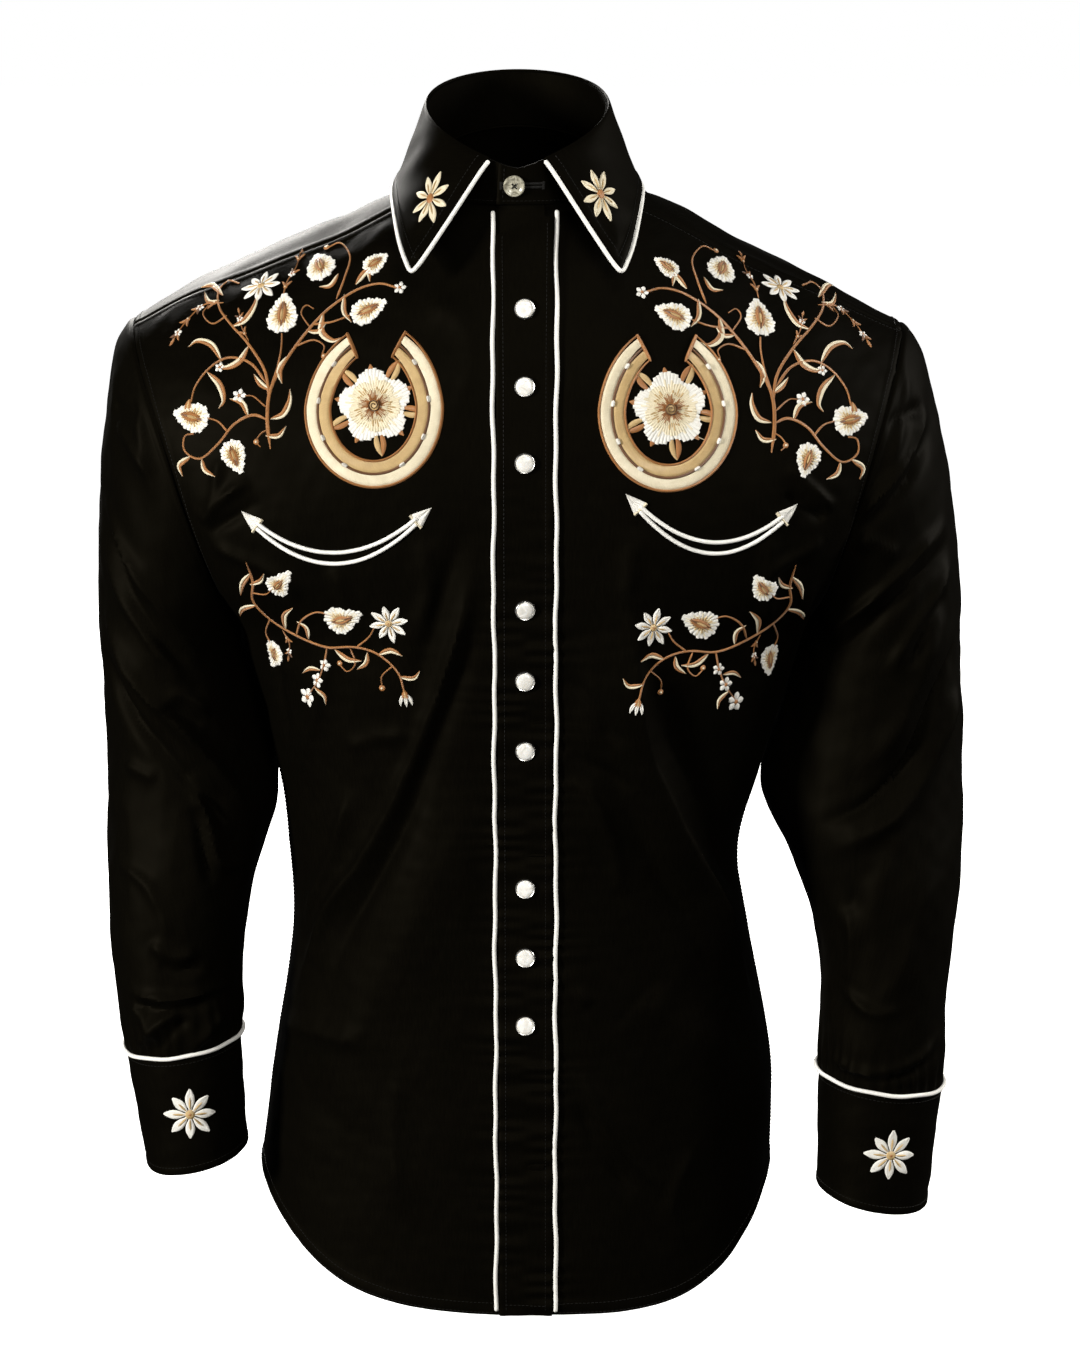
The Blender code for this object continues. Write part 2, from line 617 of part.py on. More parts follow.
def rest(names, start, direction, lift):
    """Where a line first meets the named cloth, moved out by lift, and which way is out."""
    best = None
    for name in names:
        point, normal, _, distance = SKINS[name].ray_cast(start, direction)
        if point and (best is None or distance < best[2]):
            best = (point, normal, distance)
    point, normal, _ = best
    if normal.dot(direction) > 0:
        normal = -normal
    return point + normal * lift, normal


def rest_from_front(names, x, z, lift):
    return rest(names, Vector((x, -1, z)), Vector((0, 1, 0)), lift)


def make_band_piping():
    out = BAND_WIDTH / 2 + PIPING_RADIUS + 2 * GAP
    lift = PIPING_RADIUS + 2 * GAP
    for side, name in ((RIGHT, "piping_placket_right"), (LEFT, "piping_placket_left")):
        heights = [on_front(side * out, rise).z for rise in (0.0025, *BAND_RISES[1:-1], 0.909)]
        points = [rest_from_front(FRONTS, side * out, z, lift)[0] for z in heights]
        tube(name, points, PIPING_RADIUS, WHITE)


def fall_edge(side, turn, down, outer, front_edge):
    """A place just outside the collar fall's edge, at the middle of its wall."""
    here = fall(side, turn, down)
    below = here - fall(side, turn, down - 0.03)
    beside = fall(side, turn + 0.02, down) - here
    square = beside.cross(below).normalized()
    if square.dot(here - Vector((NECK_X, 0, here.z - 0.02))) < 0:
        square = -square
    outwards = Vector((0, 0, 0))
    if outer:
        across = beside.cross(square).normalized()
        outwards += across if across.dot(below) > 0 else -across
    if front_edge:
        across = below.cross(square).normalized()
        outwards += across if across.dot(beside) < 0 else -across
    return here + outwards * (PIPING_RADIUS + 2 * GAP) - square * WALL / 2


def make_collar_piping():
    front_downs = (0.24, 0.4, 0.6, 0.8, 0.96)
    turns = (0.02, *np.linspace(0, 1, 13)[1:])
    points = [fall_edge(LEFT, 0, down, False, True) for down in front_downs]
    points.append(fall_edge(LEFT, 0, 1, True, True))
    points += [fall_edge(LEFT, turn, 1, True, False) for turn in turns]
    points += [fall_edge(RIGHT, turn, 1, True, False) for turn in turns[-2::-1]]
    points.append(fall_edge(RIGHT, 0, 1, True, True))
    points += [fall_edge(RIGHT, 0, down, False, True) for down in front_downs[::-1]]
    tube("piping_collar", points, PIPING_RADIUS, WHITE)


def make_cuff_piping():
    first = (CUFF_OVERLAP + radians(4)) / (2 * pi + CUFF_OVERLAP)
    for side, name in ((RIGHT, "piping_cuff_right"), (LEFT, "piping_cuff_left")):
        heart = (cuff(side, 0, 0) + cuff(side, 0.5, 0)) / 2
        points = []
        for turn in np.linspace(first, 1, 25):
            point = cuff(side, turn, 0)
            away = Vector((point.x - heart.x, point.y - heart.y, 0)).normalized()
            points.append(point + away * (PIPING_RADIUS + 2 * GAP) + Vector((0, 0, SEAM / 2)))
        tube(name, points, PIPING_RADIUS, WHITE)


def pocket_line(pocket, share):
    """The line between a pocket's lips, from its outer end to its inner one."""
    _, outer_x, outer_z, low_z, inner_x, inner_z = pocket
    level = outer_z + (inner_z - outer_z) * share
    sag = low_z - (outer_z + inner_z) / 2
    return outer_x + (inner_x - outer_x) * share, level + sag * 4 * share * (1 - share)


def make_pocket(pocket):
    word = "right" if pocket[0] == RIGHT else "left"
    lift = POCKET_PIPING_RADIUS + 4 * GAP
    for sign, lip in ((1, "upper"), (-1, "lower")):
        points = []
        for share in np.linspace(0, 1, 17):
            x, z = pocket_line(pocket, share)
            spread = POCKET_LIP_START + (POCKET_LIP_SPREAD - POCKET_LIP_START) * sin(pi * share)
            points.append(rest_from_front(FRONTS, x, z + sign * spread, lift)[0])
        tube(f"pocket_{word}_{lip}_lip", points, POCKET_PIPING_RADIUS, WHITE)
    for share, beyond, end in ((0, -0.02, "outer"), (1, 1.02, "inner")):
        x, z = pocket_line(pocket, share)
        far_x, far_z = pocket_line(pocket, beyond)
        ahead = Vector((far_x - x, 0, far_z - z)).normalized()
        aside = Vector((ahead.z, 0, -ahead.x))
        base = Vector((x, 0, z)) + ahead * (POCKET_PIPING_RADIUS + 2 * GAP)
        corners = [base + aside * POCKET_ARROW_WIDTH / 2, base + ahead * POCKET_ARROW,
                   base - aside * POCKET_ARROW_WIDTH / 2]
        make_arrow(f"pocket_{word}_arrow_{end}", corners)


def make_arrow(name, corners):
    """A flat embroidered arrowhead on a front panel."""
    points = [rest_from_front(FRONTS, corner.x, corner.z, 4 * GAP)[0] for corner in corners]
    mesh = bpy.data.meshes.new(name)
    mesh.from_pydata(points, [], [(0, 1, 2)])
    if mesh.polygons[0].normal.y > 0:
        mesh.flip_normals()
    arrow = place(name, mesh, CREAM)
    patch = arrow.modifiers.new("height", "SOLIDIFY")
    patch.thickness = POCKET_ARROW_HEIGHT
    patch.offset = 1


def snap_profile(radius):
    """A pearl snap: a low dome in a metal rim, from the middle of its top to its base."""
    return ((0, 0.0030), (radius * 0.60, 0.0028), (radius * 0.82, 0.0021),
            (radius, 0.0016), (radius, 0), (0, 0))


def make_snaps():
    for number, pitch in enumerate(SNAP_PLACES, 1):
        height = SNAP_TOP - pitch * SNAP_PITCH
        point, normal = rest_from_front(("placket",), 0, height, GAP)
        turned(f"snap_{number:02d}", snap_profile(SNAP_RADIUS), point, normal, 14, PEARL)


def make_cuff_snaps():
    middle = 1 - CUFF_OVERLAP / 2 / (2 * pi + CUFF_OVERLAP)
    for side, word in ((RIGHT, "right"), (LEFT, "left")):
        for number, drop in enumerate(CUFF_SNAP_DROPS, 1):
            spot = cuff(side, middle, drop)
            opposite = cuff(side, middle - pi / (2 * pi + CUFF_OVERLAP), drop)
            away = (spot - opposite).normalized()
            point, normal = rest((f"cuff_{word}",), spot + away * 0.05, -away, GAP)
            turned(f"cuff_snap_{word}_{number}", snap_profile(CUFF_SNAP_RADIUS), point, normal,
                   12, PEARL)


def make_button():
    profile = ((0, 0.0014), (BUTTON_RADIUS * 0.55, 0.0014), (BUTTON_RADIUS * 0.75, 0.0024),
               (BUTTON_RADIUS * 0.92, 0.0024), (BUTTON_RADIUS, 0.0014),
               (BUTTON_RADIUS * 0.85, 0.0002), (0, 0))
    where = stand(BUTTON_ANGLE, 0.52)
    point, normal = rest_from_front(("collar_stand",), where.x, where.z, GAP)
    turned("collar_button", profile, point, normal, 18, HORN)


def make_slit_bands():
    """The bands of the sleeves' slits, behind the arm above the cuff."""
    for side, word in ((RIGHT, "right"), (LEFT, "left")):
        length = SLEEVE[side][1][-1][0]
        low = length - 4 * PIPING_RADIUS
        rows = []
        for share, width in ((0, 1), (0.22, 1), (0.44, 1), (0.66, 1), (0.88, 1), (1, 0.15)):
            drop = low - share * SLIT_BAND_LENGTH
            row = []
            for aside in (-1, 0, 1):
                angle = SLIT_ANGLE + aside * width * SLIT_BAND_WIDTH / 2 / FOREARM_RADIUS
                point = folded_sleeve(side, angle, drop)
                away = point - sleeve_axis(side, drop)
                away.z = 0
                away.normalize()
                row.append(rest((f"sleeve_{word}",), point + away * 0.02, -away,
                                WALL + 4 * GAP)[0])
            rows.append(row)
        cloth(f"sleeve_placket_{word}", rows, sleeve_axis(side, low), BLACK)


clear_scene()
SHIRT = new_collection("western_snap_shirt")
make_fronts()
make_back()
make_yoke()
make_band()
make_sleeves()
make_cuffs()
make_collar()
make_band_piping()
make_collar_piping()
make_cuff_piping()
for shirt_pocket in POCKETS[1]:
    make_pocket(shirt_pocket)
make_snaps()
make_cuff_snaps()
make_button()
make_slit_bands()
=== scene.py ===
"""The looks of a man's western snap shirt: black sateen, white piping, pearl snaps, embroidery.

Metres, +Z up, the wearer looks along -Y and the wearer's right is on the -X side. The cloth
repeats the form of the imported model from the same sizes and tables, with finer rows, its
creases, its seams and what is sewn on it.
"""
import json

import bpy
import numpy as np
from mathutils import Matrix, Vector
from mathutils.bvhtree import BVHTree

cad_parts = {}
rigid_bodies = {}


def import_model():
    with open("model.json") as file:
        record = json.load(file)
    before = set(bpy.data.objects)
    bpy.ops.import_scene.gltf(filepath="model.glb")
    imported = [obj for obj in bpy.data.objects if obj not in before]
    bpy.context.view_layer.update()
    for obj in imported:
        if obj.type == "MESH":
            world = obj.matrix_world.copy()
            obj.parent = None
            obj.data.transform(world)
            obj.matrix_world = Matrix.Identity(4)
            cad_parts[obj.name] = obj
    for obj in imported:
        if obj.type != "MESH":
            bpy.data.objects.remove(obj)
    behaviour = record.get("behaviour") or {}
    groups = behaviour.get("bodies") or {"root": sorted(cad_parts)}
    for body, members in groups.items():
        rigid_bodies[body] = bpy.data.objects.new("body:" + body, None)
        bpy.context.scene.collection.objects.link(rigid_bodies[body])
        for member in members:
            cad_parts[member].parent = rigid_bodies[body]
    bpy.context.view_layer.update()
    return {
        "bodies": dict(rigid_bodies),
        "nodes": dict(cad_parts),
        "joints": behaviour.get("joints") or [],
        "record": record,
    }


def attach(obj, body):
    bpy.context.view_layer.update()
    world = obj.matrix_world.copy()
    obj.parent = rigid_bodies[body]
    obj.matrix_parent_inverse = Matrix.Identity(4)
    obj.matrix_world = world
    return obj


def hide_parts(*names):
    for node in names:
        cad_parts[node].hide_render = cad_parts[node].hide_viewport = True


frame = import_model()
pi = np.pi

# ------------------------------------------------------------- sizes shared with the model
RIGHT, LEFT = -1, 1        # the wearer's sides, and the sign of X there
FRONT, BACK = -1, 1        # the sign of Y there
WALL = 0.0012
GAP = 0.0003
BAND_WIDTH = 0.0345
BAND_STANDS_OFF = 0.0010
BAND_TOP = 0.905           # the rise at which the band ends
FRONT_SPLIT = 0.012
PIPING_RADIUS = 0.0014
SNAP_TOP = -0.0815
SNAP_PITCH = 0.0462
SNAP_PLACES = (0, 1, 2, 4, 5, 6, 8, 9, 10)
SNAP_RADIUS = 0.0064
CUFF_SNAP_RADIUS = 0.0056
CUFF_SNAP_DROPS = (0.018, 0.0415, 0.065)
BUTTON_RADIUS = 0.0066
BUTTON_ANGLE = np.radians(-1.3)

NECK_X = -0.005
NECK_Y = -0.0075
NECK_HALF_WIDTH = 0.066
NECK_HALF_DEPTH = 0.0755
NECK_FRONT_Z = -0.0205
NECK_BACK_Z = 0.022
NECK_SEAM_ANGLE = np.radians(60)
NECK_RISE = 1.55

STAND_TOP_HALF_WIDTH = 0.0572
STAND_TOP_FRONT = -0.0865
STAND_TOP_BACK = 0.060
STAND_TOP_FRONT_Z = 0.0015
STAND_TOP_BACK_Z = 0.056
STAND_RISE = 0.6
COLLAR_SPREAD = 0.0165
STAND_END = np.radians(-10.7)
STAND_OVERLAP = np.radians(19)
ROLL_OUT, ROLL_UP = 0.0015, 0.0075
FLANK, FLANK_OUT, FLANK_IN = 0.30, 0.0025, 0.0020

UNDERARM = 0.62
NECK_POINT = 0.915
ARMHOLE_Z = -0.195
ARMHOLE_HALF_HEIGHT = 0.096
ARMHOLE_HALF_DEPTH = 0.085
ARMHOLE_HOLLOW = 0.002
ARMHOLE_PACE = 0.8
SHOULDER_REACH = {RIGHT: 0.2530, LEFT: 0.2450}
UNDERARM_REACH = {RIGHT: 0.1900, LEFT: 0.1870}
FRONT_YOKE_ANGLE = np.radians(14)
BACK_YOKE_ANGLE = np.radians(50)
NECK_SHARE = 0.30
YOKE_FULLNESS = 1.15
YOKE_DRAWN = 0.55

SLEEVE_HEAD = 0.20
HEAD_OUT = (0.24, 0.10)
HEAD_DOWN = (0.62, 0.40)
HEAD_ARRIVES = 0.8
UPPER_ARM_Z = -0.310

CUFF_CLOSING = np.radians(285)
CUFF_OVERLAP = np.radians(44)
SLIT_ANGLE = np.radians(268)
SLIT_BAND_WIDTH = 0.024
SLIT_BAND_LENGTH = 0.125
FOREARM_RADIUS = 0.042

SIDE_SEAM = (("rise", "height", "right", "left"), (
    (0.00, -0.676, 0.1826, 0.1672),
    (0.15, -0.600, 0.1722, 0.1670),
    (0.30, -0.500, 0.1572, 0.1485),
    (0.38, -0.455, 0.1590, 0.1415),
    (0.46, -0.412, 0.1630, 0.1520),
    (0.54, -0.355, 0.1745, 0.1690),
    (0.62, -0.291, 0.1900, 0.1870)))
FRONT_LINE = (("rise", "depth", "height"), (
    (0.00, -0.118, -0.742),
    (0.15, -0.112, -0.610),
    (0.30, -0.109, -0.500),
    (0.38, -0.109, -0.455),
    (0.46, -0.111, -0.412),
    (0.54, -0.116, -0.350),
    (0.62, -0.123, -0.275),
    (0.70, -0.127, -0.205),
    (0.77, -0.125, -0.145),
    (0.83, -0.116, -0.090),
    (0.88, -0.099, -0.048),
    (NECK_POINT, -0.083, NECK_FRONT_Z)))
BACK_LINE = (("rise", "depth", "height"), (
    (0.00, 0.120, -0.738),
    (0.15, 0.115, -0.610),
    (0.30, 0.098, -0.500),
    (0.38, 0.088, -0.455),
    (0.46, 0.084, -0.412),
    (0.54, 0.088, -0.350),
    (0.62, 0.099, -0.275),
    (0.80, 0.108, -0.195),
    (1.00, 0.110, -0.122)))
SECTION = (("rise", "front_round", "back_round", "hem_bend", "chest"), (
    (0.00, 2.25, 2.25, 4.5, 0.000),
    (0.15, 2.20, 2.20, 3.0, 0.000),
    (0.40, 2.15, 2.15, 1.5, 0.000),
    (0.62, 2.25, 2.25, 1.2, 0.003),
    (0.72, 2.00, 2.25, 1.1, 0.006),
    (0.84, 1.50, 2.15, 1.0, 0.005),
    (1.00, 1.10, 2.00, 1.0, 0.000)))
SLEEVE = {
    RIGHT: (("drop", "outer", "inner", "front", "back", "lean"), (
        (0.000, 0.2838, 0.1865, -0.066, 0.090, 0.000),
        (0.050, 0.2818, 0.1745, -0.062, 0.085, 0.000),
        (0.085, 0.2812, 0.1680, -0.063, 0.077, 0.000),
        (0.112, 0.2810, 0.1675, -0.066, 0.068, 0.000),
        (0.140, 0.2807, 0.1765, -0.071, 0.056, 0.001),
        (0.185, 0.2790, 0.1870, -0.078, 0.036, 0.002),
        (0.225, 0.2750, 0.1905, -0.081, 0.022, 0.004),
        (0.252, 0.2712, 0.1905, -0.083, 0.012, 0.005),
        (0.267, 0.2690, 0.1920, -0.080, 0.005, 0.005))),
    LEFT: (("drop", "outer", "inner", "front", "back", "lean"), (
        (0.000, 0.2892, 0.1830, -0.066, 0.090, 0.000),
        (0.050, 0.2920, 0.1690, -0.062, 0.086, 0.000),
        (0.082, 0.2932, 0.1600, -0.062, 0.079, 0.000),
        (0.106, 0.2935, 0.1590, -0.065, 0.070, 0.000),
        (0.142, 0.2928, 0.1755, -0.072, 0.055, 0.001),
        (0.190, 0.2875, 0.1930, -0.078, 0.036, 0.002),
        (0.235, 0.2822, 0.1985, -0.081, 0.022, 0.004),
        (0.275, 0.2812, 0.1965, -0.083, 0.010, 0.005),
        (0.293, 0.2803, 0.1970, -0.080, 0.005, 0.005)))}
CUFF = {
    RIGHT: (("drop", "outer", "inner", "front", "back", "lean"), (
        (0.000, 0.2690, 0.1920, -0.080, 0.005, 0.005),
        (0.080, 0.2562, 0.1888, -0.084, -0.002, 0.006))),
    LEFT: (("drop", "outer", "inner", "front", "back", "lean"), (
        (0.000, 0.2803, 0.1970, -0.080, 0.005, 0.005),
        (0.082, 0.2720, 0.1975, -0.084, -0.002, 0.006)))}
FALL_EDGE = (("turn", "out", "depth", "height"), (
    (0.00, 0.0635, -0.1130, -0.0575),
    (0.15, 0.0705, -0.0940, -0.0425),
    (0.30, 0.0760, -0.0620, -0.0245),
    (0.38, 0.0782, -0.0410, -0.0170),
    (0.46, 0.0790, -0.0180, -0.0120),
    (0.60, 0.0735, 0.0200, -0.0070),
    (0.78, 0.0530, 0.0620, 0.0000),
    (0.90, 0.0270, 0.0810, 0.0040),
    (1.00, 0.0000, 0.0870, 0.0050)))

# smile pockets
POCKET_LIP_SPREAD = 0.0036
POCKET_LIP_START = 0.0018
POCKET_PIPING_RADIUS = 0.0013
POCKET_ARROW = 0.0115
POCKET_ARROW_WIDTH = 0.0105
POCKETS = (("outer_x", "outer_z", "low_z", "inner_x", "inner_z"), {
    RIGHT: (-0.1660, -0.2160, -0.2345, -0.0670, -0.2105),
    LEFT: (0.1590, -0.2110, -0.2275, 0.0710, -0.2025)})


# --------------------------------------------------------------------------- arithmetic
def vec(x, y, z):
    """Points or directions as one array, its last axis X, Y, Z."""
    return np.stack(np.broadcast_arrays(np.asarray(x, float), y, z), -1)


def unit(v):
    return v / np.maximum(np.linalg.norm(v, axis=-1, keepdims=True), 1e-12)


def smooth(start, end, value):
    """0 before start, 1 after end, and a soft step between them."""
    t = np.clip((np.asarray(value, float) - start) / (end - start), 0, 1)
    return t * t * (3 - 2 * t)


def between(t, start, leave, end, arrive):
    """A cubic from start at t 0 to end at t 1, with its slopes where it leaves and arrives."""
    return (start * (1 + 2 * t) * (1 - t) ** 2 + leave * t * (1 - t) ** 2
            + end * t * t * (3 - 2 * t) - arrive * t * t * (1 - t))


def read(table, column, place):
    """One column of a table, read smoothly between its rows at places in its first one."""
    names, rows = table
    data = np.array(rows, float)
    places, values = data[:, 0], data[:, names.index(column)]
    slopes = np.gradient(values, places)
    place = np.asarray(place, float)
    row = np.clip(np.searchsorted(places, place, side="right") - 1, 0, len(places) - 2)
    span = places[row + 1] - places[row]
    return between((place - places[row]) / span, values[row], span * slopes[row],
                   values[row + 1], span * slopes[row + 1])


def curve(points):
    """A smooth line through the points, with ten steps between neighbours."""
    p = np.array(points, float)
    p = np.vstack([2 * p[0] - p[1], p, 2 * p[-1] - p[-2]])
    t = np.arange(10)[:, None] / 10
    spans = []
    for a, b, c, d in zip(p[:-3], p[1:-2], p[2:-1], p[3:]):
        spans.append(0.5 * (2 * b + (c - a) * t + (2 * a - 5 * b + 4 * c - d) * t ** 2
                            + (3 * b - a - 3 * c + d) * t ** 3))
    return np.vstack([*spans, p[-2:-1]])


def runs_along(line):
    """How far along a line each of its points lies."""
    return np.concatenate([[0], np.cumsum(np.linalg.norm(np.diff(line, axis=0), axis=1))])


def rows_at(places, runs, rows):
    """Rows of numbers read between their own places, runs."""
    return np.stack([np.interp(places, runs, rows[:, k]) for k in range(rows.shape[1])], -1)


def even(points, step):
    """The same line with points about one step apart."""
    runs = runs_along(points)
    count = max(int(round(runs[-1] / step)) + 1, 2)
    return rows_at(np.linspace(0, runs[-1], count), runs, points)


def averaged(rows, weights):
    """Each row averaged with its neighbours; the first and last ones are repeated."""
    return np.stack([np.convolve(np.pad(rows[:, k], len(weights) // 2, "edge"), weights, "valid")
                     for k in range(3)], 1)


# -------------------------------------------------------------------------- seam curves
def neck(angle):
    """The neckline: angle 0 is the front, pi / 2 the left side and pi the back."""
    share = ((1 - np.cos(angle)) / 2) ** NECK_RISE
    return vec(NECK_X + NECK_HALF_WIDTH * np.sin(angle),
               NECK_Y - NECK_HALF_DEPTH * np.cos(angle),
               NECK_FRONT_Z + (NECK_BACK_Z - NECK_FRONT_Z) * share)


def armhole(side, face, angle):
    """The armhole: angle 0 is the shoulder's tip and pi is under the arm."""
    middle = (SHOULDER_REACH[side] + UNDERARM_REACH[side]) / 2
    half = (SHOULDER_REACH[side] - UNDERARM_REACH[side]) / 2
    reach = middle + half * np.cos(angle) - ARMHOLE_HOLLOW * np.sin(angle) ** 2
    return vec(side * reach, face * ARMHOLE_HALF_DEPTH * np.sin(angle),
               ARMHOLE_Z + ARMHOLE_HALF_HEIGHT * np.cos(angle))


def outer_edge(side, face, rise):
    """The side seam up to the arm, then the armhole up to the yoke's seam."""
    low = np.minimum(rise, UNDERARM)
    reach = read(SIDE_SEAM, "right" if side == RIGHT else "left", low)
    seam = vec(side * reach, 0, read(SIDE_SEAM, "height", low))
    last = FRONT_YOKE_ANGLE if face == FRONT else BACK_YOKE_ANGLE
    share = (np.maximum(rise - UNDERARM, 0) / (1 - UNDERARM)) ** ARMHOLE_PACE
    arm = armhole(side, face, pi + (last - pi) * share)
    return np.where((rise <= UNDERARM)[..., None], seam, arm)


def inner_edge(side, rise):
    """A front's edge under the band, then the neckline up to the yoke's seam."""
    low = np.minimum(rise, NECK_POINT)
    edge = vec(FRONT_SPLIT, read(FRONT_LINE, "depth", low), read(FRONT_LINE, "height", low))
    share = np.maximum(rise - NECK_POINT, 0) / (1 - NECK_POINT)
    start = side * (FRONT_SPLIT - NECK_X) / NECK_HALF_WIDTH
    line = neck(side * (start + (NECK_SEAM_ANGLE - start) * share))
    return np.where((rise <= NECK_POINT)[..., None], edge, line)


# ----------------------------------------------------------------------------- surfaces
def row_point(inner, outer, across, rise, roundness):
    """A point of a row that runs round the body from its inner end to its outer one."""
    power = 2 / read(SECTION, roundness, rise)
    run = np.sin(across * pi / 2) ** power
    turn = np.maximum(np.cos(across * pi / 2), 0) ** power
    lift = run ** read(SECTION, "hem_bend", rise)
    return vec(inner[..., 0] + (outer[..., 0] - inner[..., 0]) * run,
               outer[..., 1] + (inner[..., 1] - outer[..., 1]) * turn,
               inner[..., 2] + (outer[..., 2] - inner[..., 2]) * lift)


def plain_front(side, across, rise):
    """A front without creases: across runs from its front edge to its side."""
    across, rise = np.broadcast_arrays(np.asarray(across, float), rise)
    point = row_point(inner_edge(side, rise), outer_edge(side, FRONT, rise), across, rise,
                      "front_round")
    point[..., 1] -= read(SECTION, "chest", rise) * np.sin(pi * across)
    return point


def half_back(side, across, rise):
    """Half of the back: across runs from the middle to one side."""
    across, rise = np.broadcast_arrays(np.asarray(across, float), rise)
    middle = vec(0, read(BACK_LINE, "depth", rise), read(BACK_LINE, "height", rise))
    return row_point(middle, outer_edge(side, BACK, rise), across, rise, "back_round")


def climb(surface, side, across):
    """The direction in which a panel climbs where it ends at the yoke."""
    return unit(surface(side, across, 1.0) - surface(side, across, 0.97))


def loose_yoke(side, across, up):
    """Half of the yoke before its end is drawn to the armhole."""
    across, up = np.broadcast_arrays(np.asarray(across, float), up)
    low = half_back(side, across, 1.0)
    arm = np.maximum(across - NECK_SHARE, 0) / (1 - NECK_SHARE)
    forwards = -climb(plain_front, side, arm)
    share = np.minimum(across / NECK_SHARE, 1)
    neckwards = vec(-side * 0.7 * smooth(0, 1, share), -0.7 * (1 - share), 0.6)
    mix = smooth(0.55, 1, share)[..., None]
    by_neck = (across <= NECK_SHARE)[..., None]
    high = np.where(by_neck, neck(side * (pi + (NECK_SEAM_ANGLE - pi) * share)),
                    plain_front(side, arm, 1.0))
    ending = np.where(by_neck, neckwards * (1 - mix) + forwards * mix, forwards)
    span = np.linalg.norm(high - low, axis=-1, keepdims=True)
    start, end = climb(half_back, side, across) * YOKE_FULLNESS * span, ending * span
    return between(up[..., None], low, start, high, end)


def half_yoke(side, across, up):
    """Half of the yoke: up 0 is its back seam, up 1 its top edge and front seam."""
    angle = BACK_YOKE_ANGLE - np.asarray(up, float) * (BACK_YOKE_ANGLE + FRONT_YOKE_ANGLE)
    tip = armhole(side, BACK, angle)
    pull = tip - loose_yoke(side, 1.0, up)
    return loose_yoke(side, across, up) + pull * smooth(YOKE_DRAWN, 1, across)[..., None]


def ring(table, side, angle, drop):
    """A ring round the arm: angle 0 is its outer side and pi / 2 its front."""
    outer, inner = read(table, "outer", drop), read(table, "inner", drop)
    near, far = read(table, "front", drop), read(table, "back", drop)
    return vec(side * ((outer + inner) / 2 + (outer - inner) / 2 * np.cos(angle)),
               (near + far) / 2 - (far - near) / 2 * np.sin(angle),
               -read(table, "lean", drop) * np.cos(angle) - drop)


def length_of(table):
    """The drop at which a sleeve or a cuff ends, in its table's last row."""
    return table[1][-1][0]


def sleeve(side, angle, drop):
    """A sleeve without creases: a drop below 0 is on its head, above the upper arm."""
    angle, drop = np.broadcast_arrays(np.asarray(angle, float), drop)
    base = np.array((0, 0, UPPER_ARM_Z))
    tube = ring(SLEEVE[side], side, angle, np.maximum(drop, 0)) + base
    start = armhole(side, FRONT, angle)
    end = ring(SLEEVE[side], side, angle, 0.0) + base
    span = np.linalg.norm(end - start, axis=-1, keepdims=True)
    leave = vec(side * (HEAD_OUT[0] + HEAD_OUT[1] * np.cos(angle)), 0,
                HEAD_DOWN[1] * np.cos(angle) - HEAD_DOWN[0]) * span
    arrive = np.array((0, 0, -HEAD_ARRIVES)) * span
    t = (1 + np.minimum(drop, 0) / SLEEVE_HEAD)[..., None]
    head = between(t, start, leave, end, arrive)
    return np.where((drop >= 0)[..., None], tube, head)


def cuff(side, turn, drop):
    """A cuff: turn 0 is its lower end and 1 its upper one, which laps over the first."""
    turn, drop = np.broadcast_arrays(np.asarray(turn, float), drop)
    whole = 2 * pi + CUFF_OVERLAP
    angle = CUFF_CLOSING - CUFF_OVERLAP + turn * whole
    top = UPPER_ARM_Z - length_of(SLEEVE[side])
    point = ring(CUFF[side], side, angle, drop)
    middle = (ring(CUFF[side], side, 0.0, drop) + ring(CUFF[side], side, pi, drop)) / 2
    away = point - middle
    away[..., 2] = 0
    lap = (WALL + 2 * GAP) * smooth(2 * pi - CUFF_OVERLAP, 2 * pi, turn * whole)
    return point + unit(away) * lap[..., None] + np.array((0, 0, top))


def stand(angle, up):
    """The collar stand: up 0 is the neckline; its left end laps over its right."""
    angle, up = np.broadcast_arrays(np.asarray(angle, float), up)
    low = neck(angle)
    share = ((1 - np.cos(angle)) / 2) ** STAND_RISE
    high = vec(NECK_X + STAND_TOP_HALF_WIDTH * np.sin(angle),
               (STAND_TOP_FRONT + STAND_TOP_BACK) / 2
               - (STAND_TOP_BACK - STAND_TOP_FRONT) / 2 * np.cos(angle),
               STAND_TOP_FRONT_Z + (STAND_TOP_BACK_Z - STAND_TOP_FRONT_Z) * share)
    lap = (WALL + 2 * GAP) * (1 - smooth(np.radians(9), np.radians(30), angle))
    away = vec(np.sin(angle), -np.cos(angle), 0)
    return low + (high - low) * up[..., None] + away * lap[..., None]


def fall(side, turn, down):
    """The collar fall: turn 0 is a leaf's front edge and 1 the middle of the back."""
    turn, down = np.broadcast_arrays(np.asarray(turn, float), down)
    start = COLLAR_SPREAD / STAND_TOP_HALF_WIDTH
    angle = pi + side * (start + (pi - start) * turn - pi)
    root = stand(angle, 1.0) + np.array((0, 0, GAP))
    edge = vec(NECK_X + side * read(FALL_EDGE, "out", turn), read(FALL_EDGE, "depth", turn),
               read(FALL_EDGE, "height", turn))
    away = vec(np.sin(angle), -np.cos(angle), 0)
    over = root + away * ROLL_OUT + np.array((0, 0, ROLL_UP))
    shoulder = smooth(0.1, 0.4, turn) * (1 - smooth(0.6, 0.9, turn))
    stands_out = FLANK_OUT - (FLANK_OUT + FLANK_IN) * shoulder
    flank = root * (1 - FLANK) + edge * FLANK + away * stands_out[..., None]
    t = down[..., None]
    return (root * (1 - t) ** 3 + over * 3 * t * (1 - t) ** 2
            + flank * 3 * t * t * (1 - t) + edge * t ** 3)


